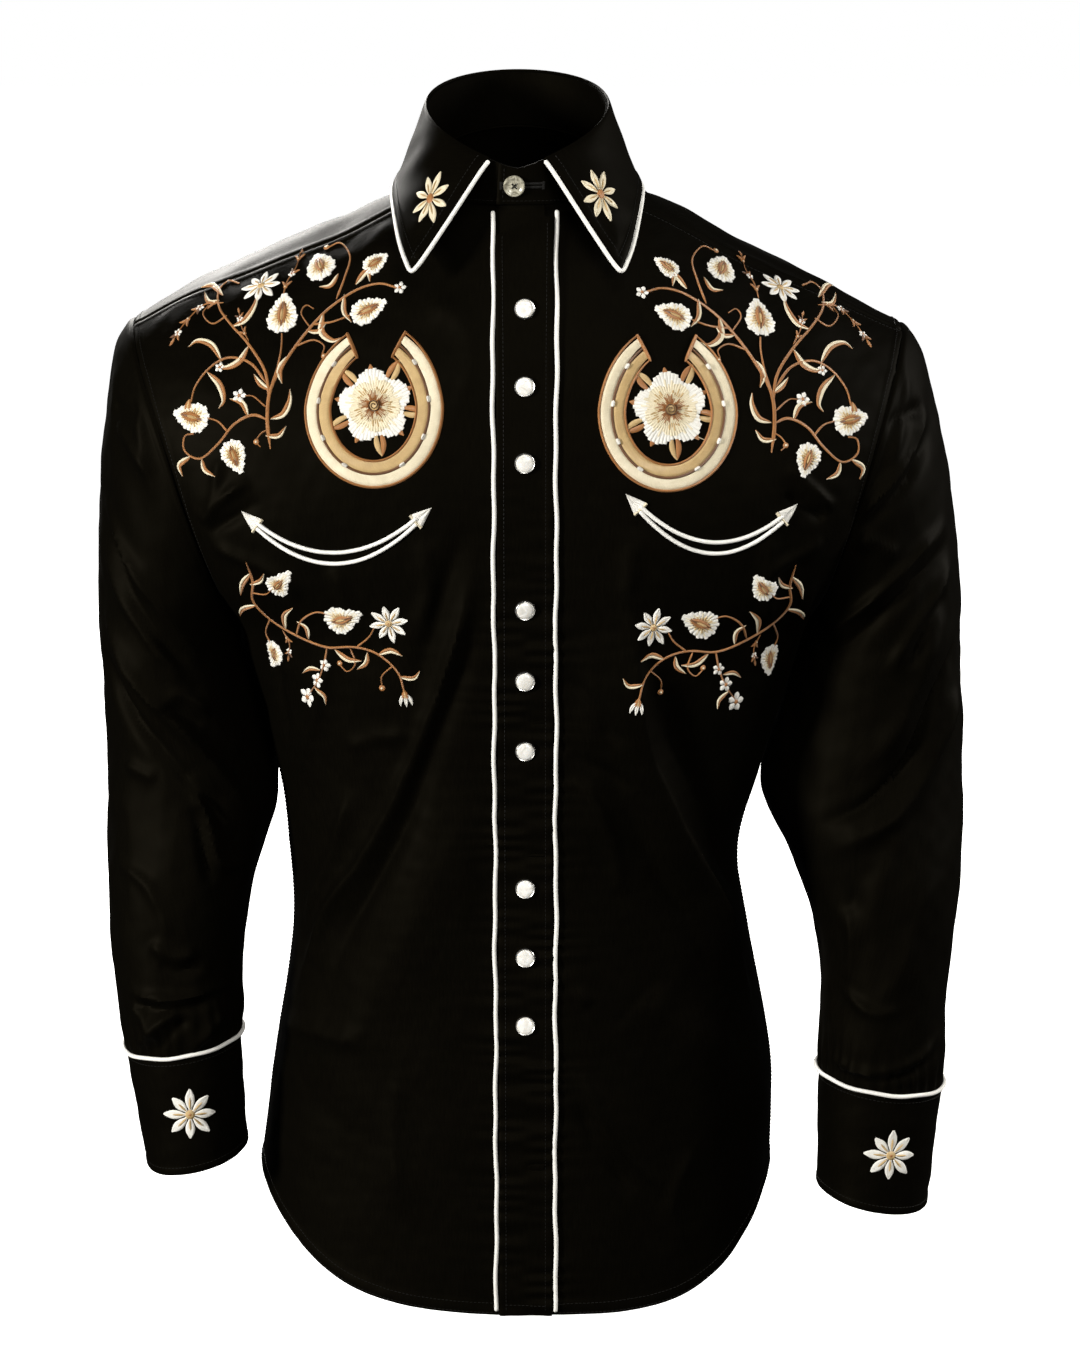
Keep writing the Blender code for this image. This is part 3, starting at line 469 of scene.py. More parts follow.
# ------------------------------------------------------------------------------- meshes
# the steps in metres of the rows next to a seam
FINE_STEPS = np.array((0, 0.7, 1.4, 2.2, 3.2, 4.4, 5.6, 6.6, 7.8)) / 1000


def paced(line, step, low=False, high=False):
    """Values from 0 to 1 that space a line's points evenly, with finer steps by its seams."""
    t = np.linspace(0, 1, 600)
    run = runs_along(line(t))
    start = FINE_STEPS[-1] if low else 0
    stop = run[-1] - (FINE_STEPS[-1] if high else 0)
    places = np.linspace(start, stop, 2 * int((stop - start) / step / 2) + 1)
    if low:
        places = np.concatenate([FINE_STEPS[:-1], places])
    if high:
        places = np.concatenate([places, run[-1] - FINE_STEPS[-2::-1]])
    return np.interp(places, run, t)


def outward(grid, away, closed=False):
    """A grid's normals on the side that away looks to; a closed grid is a tube."""
    wide = np.concatenate([grid[:, -2:-1], grid, grid[:, 1:2]], 1) if closed else grid
    normals = unit(np.cross(np.gradient(wide, axis=1), np.gradient(wide, axis=0)))
    if closed:
        normals = normals[:, 1:-1]
    return normals if np.sum(normals * away) > 0 else -normals


def raised(grid, normals, lift, closed=False):
    """The grid moved out by lift, and its new normals."""
    moved = grid + normals * lift[..., None]
    return moved, outward(moved, normals, closed)


def unrolled(grid):
    """Where each point of a grid lies on the flat cloth: along its row, and up its column."""
    along = np.linalg.norm(np.diff(grid, axis=1), axis=2)
    upward = np.linalg.norm(np.diff(grid, axis=0), axis=2)
    u = np.pad(np.cumsum(along, axis=1), ((0, 0), (1, 0)))
    v = np.pad(np.cumsum(upward, axis=0), ((1, 0), (0, 0)))
    return np.stack([u, v], -1)


def numbered(rows, cols):
    """The number of each point of a grid."""
    return np.arange(rows * cols).reshape(rows, cols)


def quads(index):
    """The corners of a grid's faces, by the numbers of its points."""
    return np.stack([index[:-1, :-1], index[:-1, 1:], index[1:, 1:], index[1:, :-1]],
                    -1).reshape(-1, 4)


def look_away(points, faces, facing):
    """Whether four-cornered faces look to the directions at their first corners."""
    first = points[faces[:, 0]]
    side = np.cross(points[faces[:, 1]] - first, points[faces[:, 3]] - first)
    return np.sum(side * facing[faces[:, 0]]) >= 0


def new_mesh(name, points, corner_sets, flats=None, kinds=None):
    """A mesh from arrays of face corners, with places on the flat cloth and finishes."""
    mesh = bpy.data.meshes.new(name)
    corners = np.concatenate([faces.ravel() for faces in corner_sets])
    sizes = np.concatenate([np.full(len(faces), faces.shape[1]) for faces in corner_sets])
    mesh.vertices.add(len(points))
    mesh.vertices.foreach_set("co", np.asarray(points, np.float32).ravel())
    mesh.loops.add(len(corners))
    mesh.loops.foreach_set("vertex_index", corners.astype(np.int32))
    mesh.polygons.add(len(sizes))
    mesh.polygons.foreach_set("loop_start", (np.cumsum(sizes) - sizes).astype(np.int32))
    if kinds is not None:
        mesh.polygons.foreach_set("material_index", np.asarray(kinds, np.int32))
    if flats is not None:
        layer = mesh.uv_layers.new(name="Weave")
        layer.uv.foreach_set("vector", np.asarray(flats, np.float32).ravel())
    mesh.update(calc_edges=True)
    return mesh


def rim(outer, inner):
    """The faces between a fine border and a border with every second of its points."""
    first, middle, last = outer[:-2:2], outer[1:-1:2], outer[2::2]
    here, there = inner[:-1], inner[1:]
    return np.concatenate([np.stack(corners, -1) for corners in (
        (middle, first, here), (last, middle, there), (middle, here, there))])


def shell_mesh(name, grid, normals, wall, closed=False):
    """Thin cloth: a fine outer skin, an inner one with a quarter of its points, and rims."""
    rows, cols = grid.shape[:2]
    half = ((rows + 1) // 2, (cols + 1) // 2)
    flat = unrolled(grid)
    points = np.vstack([grid.reshape(-1, 3), (grid - normals * wall)[::2, ::2].reshape(-1, 3)])
    flats = np.vstack([flat.reshape(-1, 2), flat[::2, ::2].reshape(-1, 2)])
    outer, inner = numbered(rows, cols), rows * cols + numbered(*half)
    borders = [(outer[0], inner[0]), (outer[-1, ::-1], inner[-1, ::-1])]
    if not closed:
        borders += [(outer[:, -1], inner[:, -1]), (outer[::-1, 0], inner[::-1, 0])]
    sets = [np.vstack([quads(outer), quads(inner)[:, ::-1]]),
            np.vstack([rim(*border) for border in borders])]
    if not look_away(points, quads(outer), normals.reshape(-1, 3)):
        sets = [faces[:, ::-1] for faces in sets]
    flats = flats[np.concatenate([faces.ravel() for faces in sets])]
    link = np.arange(len(points))
    if closed:
        link[outer[:, -1]], link[inner[:, -1]] = outer[:, 0], inner[:, 0]
    used, place = np.unique(link, return_inverse=True)
    return new_mesh(name, points[used], [place[faces] for faces in sets], flats)


def add_piece(name, mesh, finishes, nodes=(), sharp=50):
    """A piece of the shirt made of a mesh, standing for the named nodes of the model."""
    for finish in finishes:
        mesh.materials.append(finish)
    mesh.shade_smooth()
    mesh.set_sharp_from_angle(angle=np.radians(sharp))
    piece = bpy.data.objects.new(name, mesh)
    bpy.context.scene.collection.objects.link(piece)
    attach(piece, "root")
    if nodes:
        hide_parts(*nodes)


# ------------------------------------------------------------------------------ creases
# height, width and the path's points (X and Z, as seen from the front) are in millimetres;
# lean widens the side that a crease falls away to
FRONT_CREASES = (("height", "width", "lean", "path"), (
    # long ridge from the band to the right hip
    (4.0, 9.5, 0.15, ((-25, -214), (-33, -252), (-47, -300), (-57, -330), (-70, -364),
                      (-84, -398), (-105, -439), (-128, -477), (-145, -522), (-156, -557))),
    # the trough below it
    (-3.4, 12, 0, ((-25, -262), (-40, -304), (-53, -343), (-66, -380), (-78, -414),
                   (-97, -455), (-117, -496), (-131, -543))),
    # a shallow trough on its other side, towards the pocket
    (-1.6, 9, 0, ((-38, -214), (-50, -252), (-64, -300), (-72, -330))),
    (2.2, 9, 0.2, ((-111, -388), (-124, -434), (-140, -474), (-147, -501))),
    (1.0, 10, 0, ((-116, -366), (-96, -354), (-66, -350))),
    # broad plateau
    (5.5, 40, 0, ((-31, -391), (-58, -449), (-81, -498), (-115, -560), (-142, -610))),
    # step at the hip
    (1.3, 12, 0.3, ((-166, -572), (-138, -565), (-98, -563))),
    (1.2, 12, 0, ((-81, -576), (-87, -627), (-81, -680))),
    (1.6, 9, 0.2, ((-122, -288), (-130, -326), (-142, -365), (-145, -391))),
    (-1.8, 8, 0, ((-165, -300), (-157, -339), (-155, -372))),
    # left crest
    (11, 23, -0.72, ((67, -266), (70, -312), (77, -358), (93, -402), (113, -454),
                     (127, -489), (143, -533), (153, -564))),
    # trough inside it
    (-2.0, 14, 0, ((34, -352), (50, -372), (66, -402), (80, -436), (96, -470), (112, -508),
                   (127, -552))),
    # short troughs that run to it from the band
    (-2.4, 8, 0, ((21, -302), (34, -318), (48, -336), (60, -360))),
    (-1.6, 6, 0, ((24, -360), (40, -366), (56, -376), (66, -390))),
    (2.4, 9, 0, ((23, -368), (41, -391), (55, -424), (62, -461))),
    # trough outside it
    (-4.6, 16, 0, ((88, -316), (97, -358), (113, -402), (131, -450), (143, -488))),
    (1.8, 6, 0.3, ((21, -510), (32, -521), (42, -535))),
    (2.2, 7, 0.3, ((26, -567), (41, -593), (61, -631), (93, -662))),
    (-1.6, 9, 0, ((32, -593), (48, -627), (75, -662))),
    (2.6, 22, 0, ((74, -524), (106, -555), (142, -579))),
    (1.4, 10, 0, ((113, -627), (96, -673), (108, -708))),
    (1.5, 10, 0.2, ((-121, -237), (-112, -268), (-110, -300))),
    (1.6, 10, 0, ((-62, -218), (-60, -256), (-66, -294))),
    (1.5, 10, 0, ((68, -212), (64, -256), (72, -294))),
    (1.4, 10, 0, ((152, -215), (151, -249), (154, -288))),
    # right armpit
    (2.2, 7, 0.2, ((-204, -219), (-187, -200), (-168, -185))),
    (-1.6, 6, 0, ((-201, -225), (-182, -212), (-162, -199))),
    (2, 8, 0, ((-200, -229), (-177, -238), (-152, -249), (-140, -268))),
    (1.4, 7, 0, ((-198, -212), (-192, -193), (-189, -171))),
    # left armpit
    (2.2, 7, 0.2, ((194, -208), (177, -192), (163, -175))),
    (-1.6, 6, 0, ((190, -214), (174, -204), (158, -194))),
    (2, 8, 0, ((188, -224), (174, -234), (158, -241), (146, -256))),
    (1.6, 8, 0, ((185, -253), (172, -288), (163, -326))),
    (1.3, 14, 0, ((-64, -76), (-33, -94), (-29, -137))),
    (1.1, 16, 0, ((58, -82), (32, -106), (28, -149))),
))
RIGHT_ARM_CREASES = (("height", "width", "lean", "path"), (
    (-2, 6, 0, ((-266, -148), (-252, -151), (-238, -149))),
    (2, 7, 0, ((-262, -158), (-249, -171), (-233, -190))),
    (2.6, 7, 0.25, ((-273, -207), (-255, -243), (-234, -277), (-205, -317))),
    (-2.2, 7, 0, ((-272, -224), (-258, -255), (-241, -289), (-211, -326))),
    (2.4, 7, 0.2, ((-273, -240), (-262, -268), (-242, -298), (-214, -336))),
    # long ridge across the upper arm
    (5, 9, 0.35, ((-276, -282), (-257, -319), (-231, -350), (-201, -389), (-173, -427))),
    # its trough
    (-4.6, 9, 0, ((-275, -307), (-263, -343), (-234, -375), (-204, -412), (-182, -442))),
    (1.8, 6, 0, ((-234, -332), (-218, -338), (-202, -351))),
    (-1.8, 5, 0, ((-237, -340), (-222, -349), (-208, -359))),
    (3, 8, 0.2, ((-222, -386), (-208, -416), (-201, -450), (-180, -453))),
    (-2.4, 7, 0, ((-216, -408), (-210, -439), (-205, -465))),
    (1.8, 8, 0, ((-264, -384), (-252, -388), (-239, -394))),
    (1.7, 7, 0.2, ((-248, -497), (-232, -509), (-212, -506))),
    (-1.4, 6, 0, ((-242, -512), (-225, -518), (-208, -515))),
    (1.9, 3.2, 0, ((-268, -534), (-243, -536), (-216, -535), (-187, -531))),
    (-1.5, 4, 0, ((-267, -540), (-240, -543), (-192, -537))),
    (2, 5, 0.2, ((-262, -541), (-251, -552), (-242, -567))),
    (2.2, 5, -0.2, ((-226, -541), (-241, -554), (-257, -574))),
    (-1.6, 5, 0, ((-219, -546), (-234, -561), (-247, -578))),
    (2.1, 5, -0.2, ((-197, -548), (-212, -564), (-223, -579))),
    (1.6, 7, 0, ((-272, -449), (-247, -462), (-230, -497))),
    (0.9, 14, 0, ((-266, -394), (-258, -442), (-259, -490))),
    (1.5, 8, 0, ((-237, -112), (-241, -158), (-233, -209))),
))
LEFT_ARM_CREASES = (("height", "width", "lean", "path"), (
    (-2.8, 5, 0, ((220, -164), (226, -156), (254, -150))),
    (3.2, 7, -0.2, ((258, -151), (238, -183), (219, -205), (200, -220))),
    (-2.4, 6, 0, ((260, -163), (242, -194), (223, -213), (204, -226))),
    (1.8, 6, 0, ((208, -229), (222, -233), (238, -244))),
    (3, 8, 0.25, ((275, -222), (240, -250), (213, -278), (190, -306))),
    (-2.8, 8, 0, ((277, -235), (247, -263), (220, -290), (196, -315))),
    (2.6, 8, 0.2, ((277, -246), (262, -272), (243, -301), (232, -327))),
    (-2, 7, 0, ((273, -268), (257, -294), (246, -321))),
    # sharp trough round the arm
    (-4.8, 7, 0, ((282, -301), (266, -340), (247, -382), (222, -408), (191, -424))),
    # the swell below it
    (4.6, 13, -0.3, ((285, -322), (273, -365), (255, -401), (227, -427), (197, -439))),
    # the swell above it
    (3.2, 15, 0, ((273, -281), (254, -327), (234, -369), (210, -392))),
    (1.1, 16, 0, ((250, -416), (236, -446), (226, -480), (214, -508))),
    (-1.0, 13, 0, ((238, -428), (221, -458), (206, -487))),
    (1.2, 13, 0, ((270, -449), (254, -490), (243, -522), (225, -549))),
    (1.7, 7, 0, ((208, -532), (226, -546), (248, -543))),
    (2, 3.5, 0, ((199, -583), (226, -588), (257, -579), (278, -564))),
    (-1.5, 4, 0, ((199, -589), (227, -593), (259, -586), (279, -572))),
    (1.4, 8, 0, ((211, -476), (214, -504), (210, -532))),
    (1.5, 8, 0, ((234, -107), (239, -145), (228, -190))),
))
BACK_CREASES = (("height", "width", "lean", "path"), (
    # from the shoulder blades to the small of the back
    (5.0, 14, 0.3, ((-128, -250), (-112, -305), (-88, -352), (-52, -392), (-22, -418))),
    (4.6, 13, -0.3, ((134, -262), (112, -318), (84, -360), (46, -398), (12, -424))),
    (-4.2, 15, 0, ((-106, -262), (-88, -312), (-62, -350), (-28, -382))),
    (-3.8, 15, 0, ((110, -276), (88, -328), (58, -366), (24, -392))),
    # the cloth gathered in the small of the back
    (3.4, 10, 0.2, ((-118, -436), (-72, -452), (-18, -449), (28, -460), (64, -452))),
    (-3.0, 10, 0, ((-96, -466), (-44, -477), (12, -474), (58, -483))),
    (3.0, 11, -0.2, ((-64, -492), (-8, -500), (46, -497), (98, -482))),
    (2.2, 8, 0, ((60, -430), (96, -424), (130, -408))),
    # down to the hem
    (3.6, 20, 0, ((-66, -520), (-74, -585), (-70, -660), (-78, -712))),
    (3.0, 22, 0, ((58, -528), (68, -600), (60, -690))),
    (-2.8, 20, 0, ((-4, -540), (2, -610), (-6, -700))),
    (2.0, 12, 0.2, ((-126, -500), (-132, -560), (-120, -620))),
    (2.2, 12, -0.2, ((124, -508), (134, -566), (124, -640))),
    # behind the arms
    (2.6, 9, 0.2, ((-206, -236), (-182, -226), (-158, -232), (-140, -250))),
    (2.4, 9, -0.2, ((204, -228), (180, -220), (156, -230), (138, -252))),
    (-1.8, 8, 0, ((-200, -254), (-176, -248), (-156, -262))),
    (-1.8, 8, 0, ((198, -246), (174, -242), (154, -258))),
    (1.8, 16, 0, ((-40, -170), (-34, -230), (-42, -290))),
    (1.6, 16, 0, ((38, -164), (30, -222), (40, -280))),
))
RIGHT_ARM_BACK = (("height", "width", "lean", "path"), (
    (3.0, 9, 0.2, ((-268, -196), (-244, -236), (-220, -262), (-200, -300))),
    (-2.4, 9, 0, ((-272, -222), (-250, -256), (-228, -284))),
    (3.6, 11, -0.2, ((-276, -300), (-252, -334), (-226, -352), (-192, -392))),
    (-3.2, 10, 0, ((-276, -328), (-250, -360), (-222, -380))),
    # across the elbow
    (3.4, 9, 0, ((-270, -388), (-246, -402), (-214, -398), (-192, -414))),
    (-2.6, 8, 0, ((-266, -412), (-240, -424), (-212, -422))),
    (2.8, 9, 0, ((-264, -436), (-238, -448), (-206, -444))),
    (2.2, 9, 0.2, ((-258, -470), (-240, -500), (-232, -540))),
    (1.8, 5, 0, ((-262, -548), (-240, -556), (-214, -552))),
))
LEFT_ARM_BACK = (("height", "width", "lean", "path"), (
    (3.0, 9, -0.2, ((272, -186), (248, -224), (222, -256), (204, -292))),
    (-2.6, 9, 0, ((276, -214), (252, -250), (230, -276))),
    (3.8, 11, 0.2, ((280, -286), (254, -322), (224, -350), (196, -376))),
    (-3.2, 10, 0, ((282, -316), (256, -350), (226, -376))),
    # across the elbow
    (3.2, 9, 0, ((278, -392), (252, -404), (222, -412), (200, -424))),
    (-2.6, 8, 0, ((276, -418), (250, -430), (220, -434))),
    (2.6, 9, 0, ((270, -446), (246, -456), (218, -462))),
    (2.2, 9, -0.2, ((266, -486), (250, -520), (246, -566))),
    (1.8, 5, 0, ((272, -572), (248, -582), (222, -578))),
))
YOKE_CREASES = (("height", "width", "lean", "path"), (
    (1.8, 14, 0, ((-96, -40), (-140, -62), (-196, -84), (-232, -100))),
    (-1.4, 12, 0, ((-84, -56), (-128, -80), (-180, -98))),
    (1.6, 14, 0, ((88, -36), (138, -58), (190, -82), (226, -98))),
    (-1.4, 12, 0, ((80, -52), (120, -74), (172, -94))),
    (1.2, 10, 0, ((-70, -20), (-84, -50), (-112, -76))),
    (1.2, 10, 0, ((62, -18), (78, -48), (106, -72))),
))
COLLAR_CREASES = (("height", "width", "lean", "path"), (
    (0.5, 9, 0, ((-60, -22), (-66, -40), (-64, -56))),
    (0.5, 9, 0, ((50, -20), (56, -38), (54, -54))),
))


# how much higher and narrower than its table's numbers a crease is made
CREASE_GAIN, CREASE_POWER = 1.9, 0.82
NARROW, BROAD, BROAD_FROM = 0.56, 0.85, 20
LEAST_WIDTH = 0.0038
# how near a crease's path the cloth has to be, and on how many of its points
ON_CLOTH, LEAST_POINTS = 0.006, 12
# how many times its width a crease reaches, and the facing from which cloth takes part in it
REACH, TURNED_AWAY = 3.2, -0.35


def rough(points, size, height):
    """Slow uneven swells in space, the same on each run."""
    draws = np.random.default_rng(int(size * 1e6))
    swell = 0
    for _ in range(8):
        way = unit(draws.normal(size=3)) * 2 * pi / (size * draws.uniform(0.7, 1.5))
        swell = swell + np.sin(points @ way + draws.uniform(0, 2 * pi))
    return swell * height / 4


def creases(grid, normals, table, face=FRONT):
    """How far the creases of a table lift each point of a grid along its normal."""
    lift = np.zeros(grid.shape[:2])
    facing = normals[..., 1] * face > 0.1
    if not facing.any():
        return lift
    seen = grid[facing]
    for number, (height, width, lean, path) in enumerate(table[1]):
        # the path laid on the cloth that is seen, and smoothed
        line = even(curve(np.array(path) / 1000), 0.002)
        gaps = ((line[:, None] - seen[None][..., [0, 2]]) ** 2).sum(-1)
        on_cloth = gaps.min(1) < ON_CLOTH ** 2
        if on_cloth.sum() < LEAST_POINTS:
            continue
        spots = seen[gaps.argmin(1)][on_cloth]
        blur = np.hanning(11)[1:-1]
        weight = np.convolve(np.ones(len(spots)), blur, "same")
        spots = np.stack([np.convolve(spots[:, k], blur, "same") / weight for k in range(3)], 1)
        ways = unit(np.gradient(spots, axis=0))
        # the points of the grid within its reach, and how far and on which hand they lie
        half = max(width / 1000 * (NARROW if width < BROAD_FROM else BROAD), LEAST_WIDTH)
        reach = REACH * half
        near = ((grid > spots.min(0) - reach) & (grid < spots.max(0) + reach)).all(-1)
        near &= normals[..., 1] * face > TURNED_AWAY
        if not near.any():
            continue
        points, ups = grid[near], normals[near]
        gap = points[:, None] - spots[None]
        closest = (gap ** 2).sum(-1).argmin(1)
        gap, way = gap[np.arange(len(points)), closest], ways[closest]
        run = np.clip((gap * way).sum(-1), -0.002, 0.002)
        gap -= way * run[:, None]
        away = np.linalg.norm(gap, axis=-1)
        hand = (np.cross(way, gap) * ups).sum(-1) / np.maximum(away, 1e-9)
        # its form: thin at both ends, uneven between them, gone where the cloth turns away
        share = (np.flatnonzero(on_cloth) / (len(line) - 1))[closest]
        taper = smooth(-0.02, 0.24, share) * (1 - smooth(0.72, 1.02, share))
        uneven = 1 + 0.22 * np.sin(share * 9 + number * 2.1) * taper
        breadth = half * (1 + lean * hand) * (1.3 - 0.3 * taper)
        fade = smooth(TURNED_AWAY, 0.15, ups[:, 1] * face)
        rise = CREASE_GAIN * np.sign(height) * abs(height) ** CREASE_POWER / 1000
        lift[near] += rise * taper * uneven * fade * np.exp(-(away / breadth) ** 1.6)
    return lift


def seam_groove(run):
    """The dip of a sewn seam and the soft ridge of its allowance, by the distance from it."""
    ridge = smooth(0.0004, 0.0024, run) * (1 - smooth(0.0052, 0.0072, run))
    return 0.00035 * ridge - 0.0007 * np.exp(-(run / 0.0013) ** 2)


def hem_step(run, depth):
    """A turned-up hem: double cloth, drawn in a little at its row of stitches."""
    stitch = np.exp(-((run - depth) / 0.0010) ** 2)
    edge = 1 - smooth(0, 0.0012, run)
    return 0.0006 * (1 - smooth(depth, depth + 0.0018, run)) - 0.0005 * stitch - 0.0005 * edge


def relaxed(grid):
    """The grid with the kinks inside it smoothed away in 60 rounds; its borders stay."""
    grid = grid.copy()
    for _ in range(60):
        around = (grid[:-2, 1:-1] + grid[2:, 1:-1] + grid[1:-1, :-2] + grid[1:-1, 2:]) / 4
        grid[1:-1, 1:-1] += 0.8 * (around - grid[1:-1, 1:-1])
    return grid


# soft moves of each shoulder: middle and breadth along X, then the way outwards and up
SHOULDER_SHIFT = {RIGHT: ((0.115, 0.032, 0.0, -0.0032), (0.216, 0.028, 0.0, 0.0034)),
                  LEFT: ((0.140, 0.034, 0.0, -0.0048), (0.228, 0.060, -0.0024, -0.0028))}


def sloped(grid):
    """The grid with its shoulders sloped as in the photo, the left one lower."""
    grid = grid.copy()
    x, z = grid[..., 0].copy(), grid[..., 2].copy()
    for side in (RIGHT, LEFT):
        for middle, breadth, outwards, up in SHOULDER_SHIFT[side]:
            share = (np.exp(-((side * x - middle) / breadth) ** 2)
                     * smooth(-0.235, -0.130, z))
            grid[..., 0] += side * outwards * share
            grid[..., 2] += up * share
    return grid


def from_edges(grid):
    """Distances along the cloth from its borders: first and last column, first and last row."""
    u, v = np.moveaxis(unrolled(grid), -1, 0)
    return u, u[:, -1:] - u, v, v[-1:] - v


def calm_by(distance, width=0.012):
    """0 on a seam, so that creases die out there, and 1 from a width beside it."""
    return smooth(0, width, distance)


# ----------------------------------------------------------------------------- finishes
def fill(tree, node, values):
    """Set inputs of a node, by name or number, to values, colours or what is linked there."""
    for key, value in values.items():
        socket = node.inputs[key]
        if isinstance(value, bpy.types.NodeSocket):
            tree.links.new(value, socket)
        elif socket.type == "RGBA":
            socket.default_value = (*value, 1)
        else:
            socket.default_value = value


def add_node(tree, kind, values=(), **settings):
    """A node with its settings, and what goes into its inputs."""
    node = tree.nodes.new(kind)
    for key, value in settings.items():
        setattr(node, key, value)
    fill(tree, node, dict(values))
    return node


def new_finish(name):
    """A new material and its node tree."""
    finish = bpy.data.materials.new(name)
    finish.use_nodes = True
    return finish, finish.node_tree


def set_look(finish, values):
    """The material with what goes into its principled shader."""
    fill(finish.node_tree, finish.node_tree.nodes["Principled BSDF"], values)
    return finish


def on_flat(tree):
    """Places on the flat cloth or thread."""
    return add_node(tree, "ShaderNodeUVMap", uv_map="Weave").outputs[0]


def in_space(tree):
    """Places in metres."""
    return add_node(tree, "ShaderNodeTexCoord").outputs["Object"]


def mapped(tree, places, **values):
    """Places that are turned or stretched."""
    return add_node(tree, "ShaderNodeMapping", {"Vector": places, **values}).outputs[0]


def mixed(tree, share, first, second):
    """A colour between two, by a share from 0 to 1."""
    return add_node(tree, "ShaderNodeMix", {0: share, 6: first, 7: second},
                    data_type="RGBA").outputs[2]


def ranged(tree, value, low, high, start=0.0, stop=1.0):
    """A value carried from the range start to stop into the range low to high."""
    return add_node(tree, "ShaderNodeMapRange", {0: value, 1: start, 2: stop, 3: low,
                                                 4: high}).outputs[0]


def maths(tree, operation, first, second):
    """The product or the sum of two values."""
    return add_node(tree, "ShaderNodeMath", {0: first, 1: second},
                    operation=operation).outputs[0]


def product(tree, first, second):
    return maths(tree, "MULTIPLY", first, second)


def total(tree, first, second):
    return maths(tree, "ADD", first, second)


def bump(tree, height, distance, strength, below=None):
    """The relief of a height, on top of the relief below."""
    values = {"Strength": strength, "Distance": distance, "Height": height}
    if below is not None:
        values["Normal"] = below
    return add_node(tree, "ShaderNodeBump", values).outputs[0]


def bands(tree, places, size, direction):
    """Bands across a direction, one for each size, in metres."""
    return add_node(tree, "ShaderNodeTexWave", {"Vector": places, "Scale": 0.314 / size},
                    wave_type="BANDS", bands_direction=direction,
                    wave_profile="SIN").outputs["Fac"]


def noise(tree, places, size, detail=2.0, twist=0.0):
    """Clouds of about a size, in metres."""
    return add_node(tree, "ShaderNodeTexNoise", {
        "Vector": places, "Scale": 1 / size, "Detail": detail,
        "Distortion": twist}).outputs["Fac"]


def sateen():
    """Black cotton sateen: fine threads, long floats along the cloth, a dull soft gloss."""
    finish, tree = new_finish("black_sateen")
    places, space = on_flat(tree), in_space(tree)
    turned = mapped(tree, places, Rotation=(0, 0, np.radians(27)))
    warp = bands(tree, places, 0.00042, "X")
    weft = bands(tree, places, 0.00050, "Y")
    floats = bands(tree, turned, 0.0011, "X")
    slubs = noise(tree, mapped(tree, places, Scale=(1, 0.12, 1)), 0.0012, 3.0)
    clouds = noise(tree, space, 0.045, 3.0)
    fluff = noise(tree, space, 0.0006)
    tone = total(tree, product(tree, slubs, ranged(tree, clouds, 0.4, 0.9)),
                 product(tree, fluff, ranged(tree, warp, 0.1, 0.4)))
    colour = mixed(tree, tone, (0.0006, 0.0005, 0.0003), (0.0025, 0.0021, 0.0012))
    dull = ranged(tree, total(tree, product(tree, slubs, clouds), 0.25), 0.44, 0.66)
    weave = total(tree, product(tree, warp, 0.5), product(tree, product(tree, weft, floats), 0.5))
    fine = bump(tree, weave, 0.00003, 0.4)
    wide = bump(tree, noise(tree, space, 0.008, 3.0), 0.0003, 0.25, fine)
    return set_look(finish, {
        "Base Color": colour, "Roughness": dull, "Specular IOR Level": 0.016,
        "Specular Tint": (1.0, 0.86, 0.58), "Sheen Weight": 0.001, "Sheen Roughness": 0.42,
        "Sheen Tint": (0.90, 0.86, 0.80), "Normal": bump(tree, slubs, 0.00004, 0.35, wide)})


def satin_thread(name, colour, shade, size=0.00045, dull=0.36, gloss=0.55, sheen=0.12):
    """Rayon satin stitches side by side along a patch, in one colour, with painted groove shade.
    """
    finish, tree = new_finish(name)
    places, space = on_flat(tree), in_space(tree)
    threads = bands(tree, places, size, "X")
    streaks = noise(tree, mapped(tree, places, Scale=(1, 0.06, 1)), size * 1.6)
    patches = noise(tree, space, 0.006)
    # painted shade: the base colour falls towards the darker shade colour in the grooves between
    # the thread bands, and along streaks and patches that vary at random
    tone = product(tree, total(tree, product(tree, threads, 0.55), product(tree, streaks, 0.6)),
                   ranged(tree, patches, 0.75, 1.15, 0.3, 0.7))
    return set_look(finish, {
        "Base Color": mixed(tree, tone, shade, colour),
        "Roughness": ranged(tree, streaks, dull, dull + 0.18), "Specular IOR Level": gloss,
        "Sheen Weight": sheen, "Sheen Roughness": 0.30,
        "Normal": bump(tree, streaks, 0.00010, 0.6, bump(tree, threads, 0.00014, 0.9))})


def pearl():
    """Moulded pearl: a milky body with slow cloudy streaks under a hard gloss."""
    finish, tree = new_finish("white_pearl")
    space = in_space(tree)
    swirl = noise(tree, space, 1 / 130, 3.0, 2.2)
    fine = noise(tree, space, 0.0009, 3.0)
    milky = mixed(tree, ranged(tree, swirl, 0, 1, 0.35, 0.65), (0.60, 0.58, 0.53),
                  (0.80, 0.79, 0.76))
    return set_look(finish, {
        "Base Color": mixed(tree, ranged(tree, fine, 0, 0.25), milky, (0.66, 0.70, 0.72)),
        "Roughness": ranged(tree, swirl, 0.14, 0.26), "Coat Weight": 0.6,
        "Coat Roughness": 0.06, "Subsurface Weight": 0.15,
        "Subsurface Radius": (0.0012, 0.0010, 0.0008), "Subsurface Scale": 1.0,
        "Normal": bump(tree, swirl, 0.00006, 0.3)})


def snap_metal():
    """The nickel rim of a snap, a little worn."""
    finish, tree = new_finish("snap_metal")
    wear = noise(tree, in_space(tree), 0.0011, 4.0)
    return set_look(finish, {
        "Base Color": mixed(tree, wear, (0.66, 0.65, 0.62), (0.90, 0.89, 0.87)),
        "Roughness": ranged(tree, wear, 0.18, 0.38), "Metallic": 1.0,
        "Normal": bump(tree, wear, 0.00004, 0.3)})


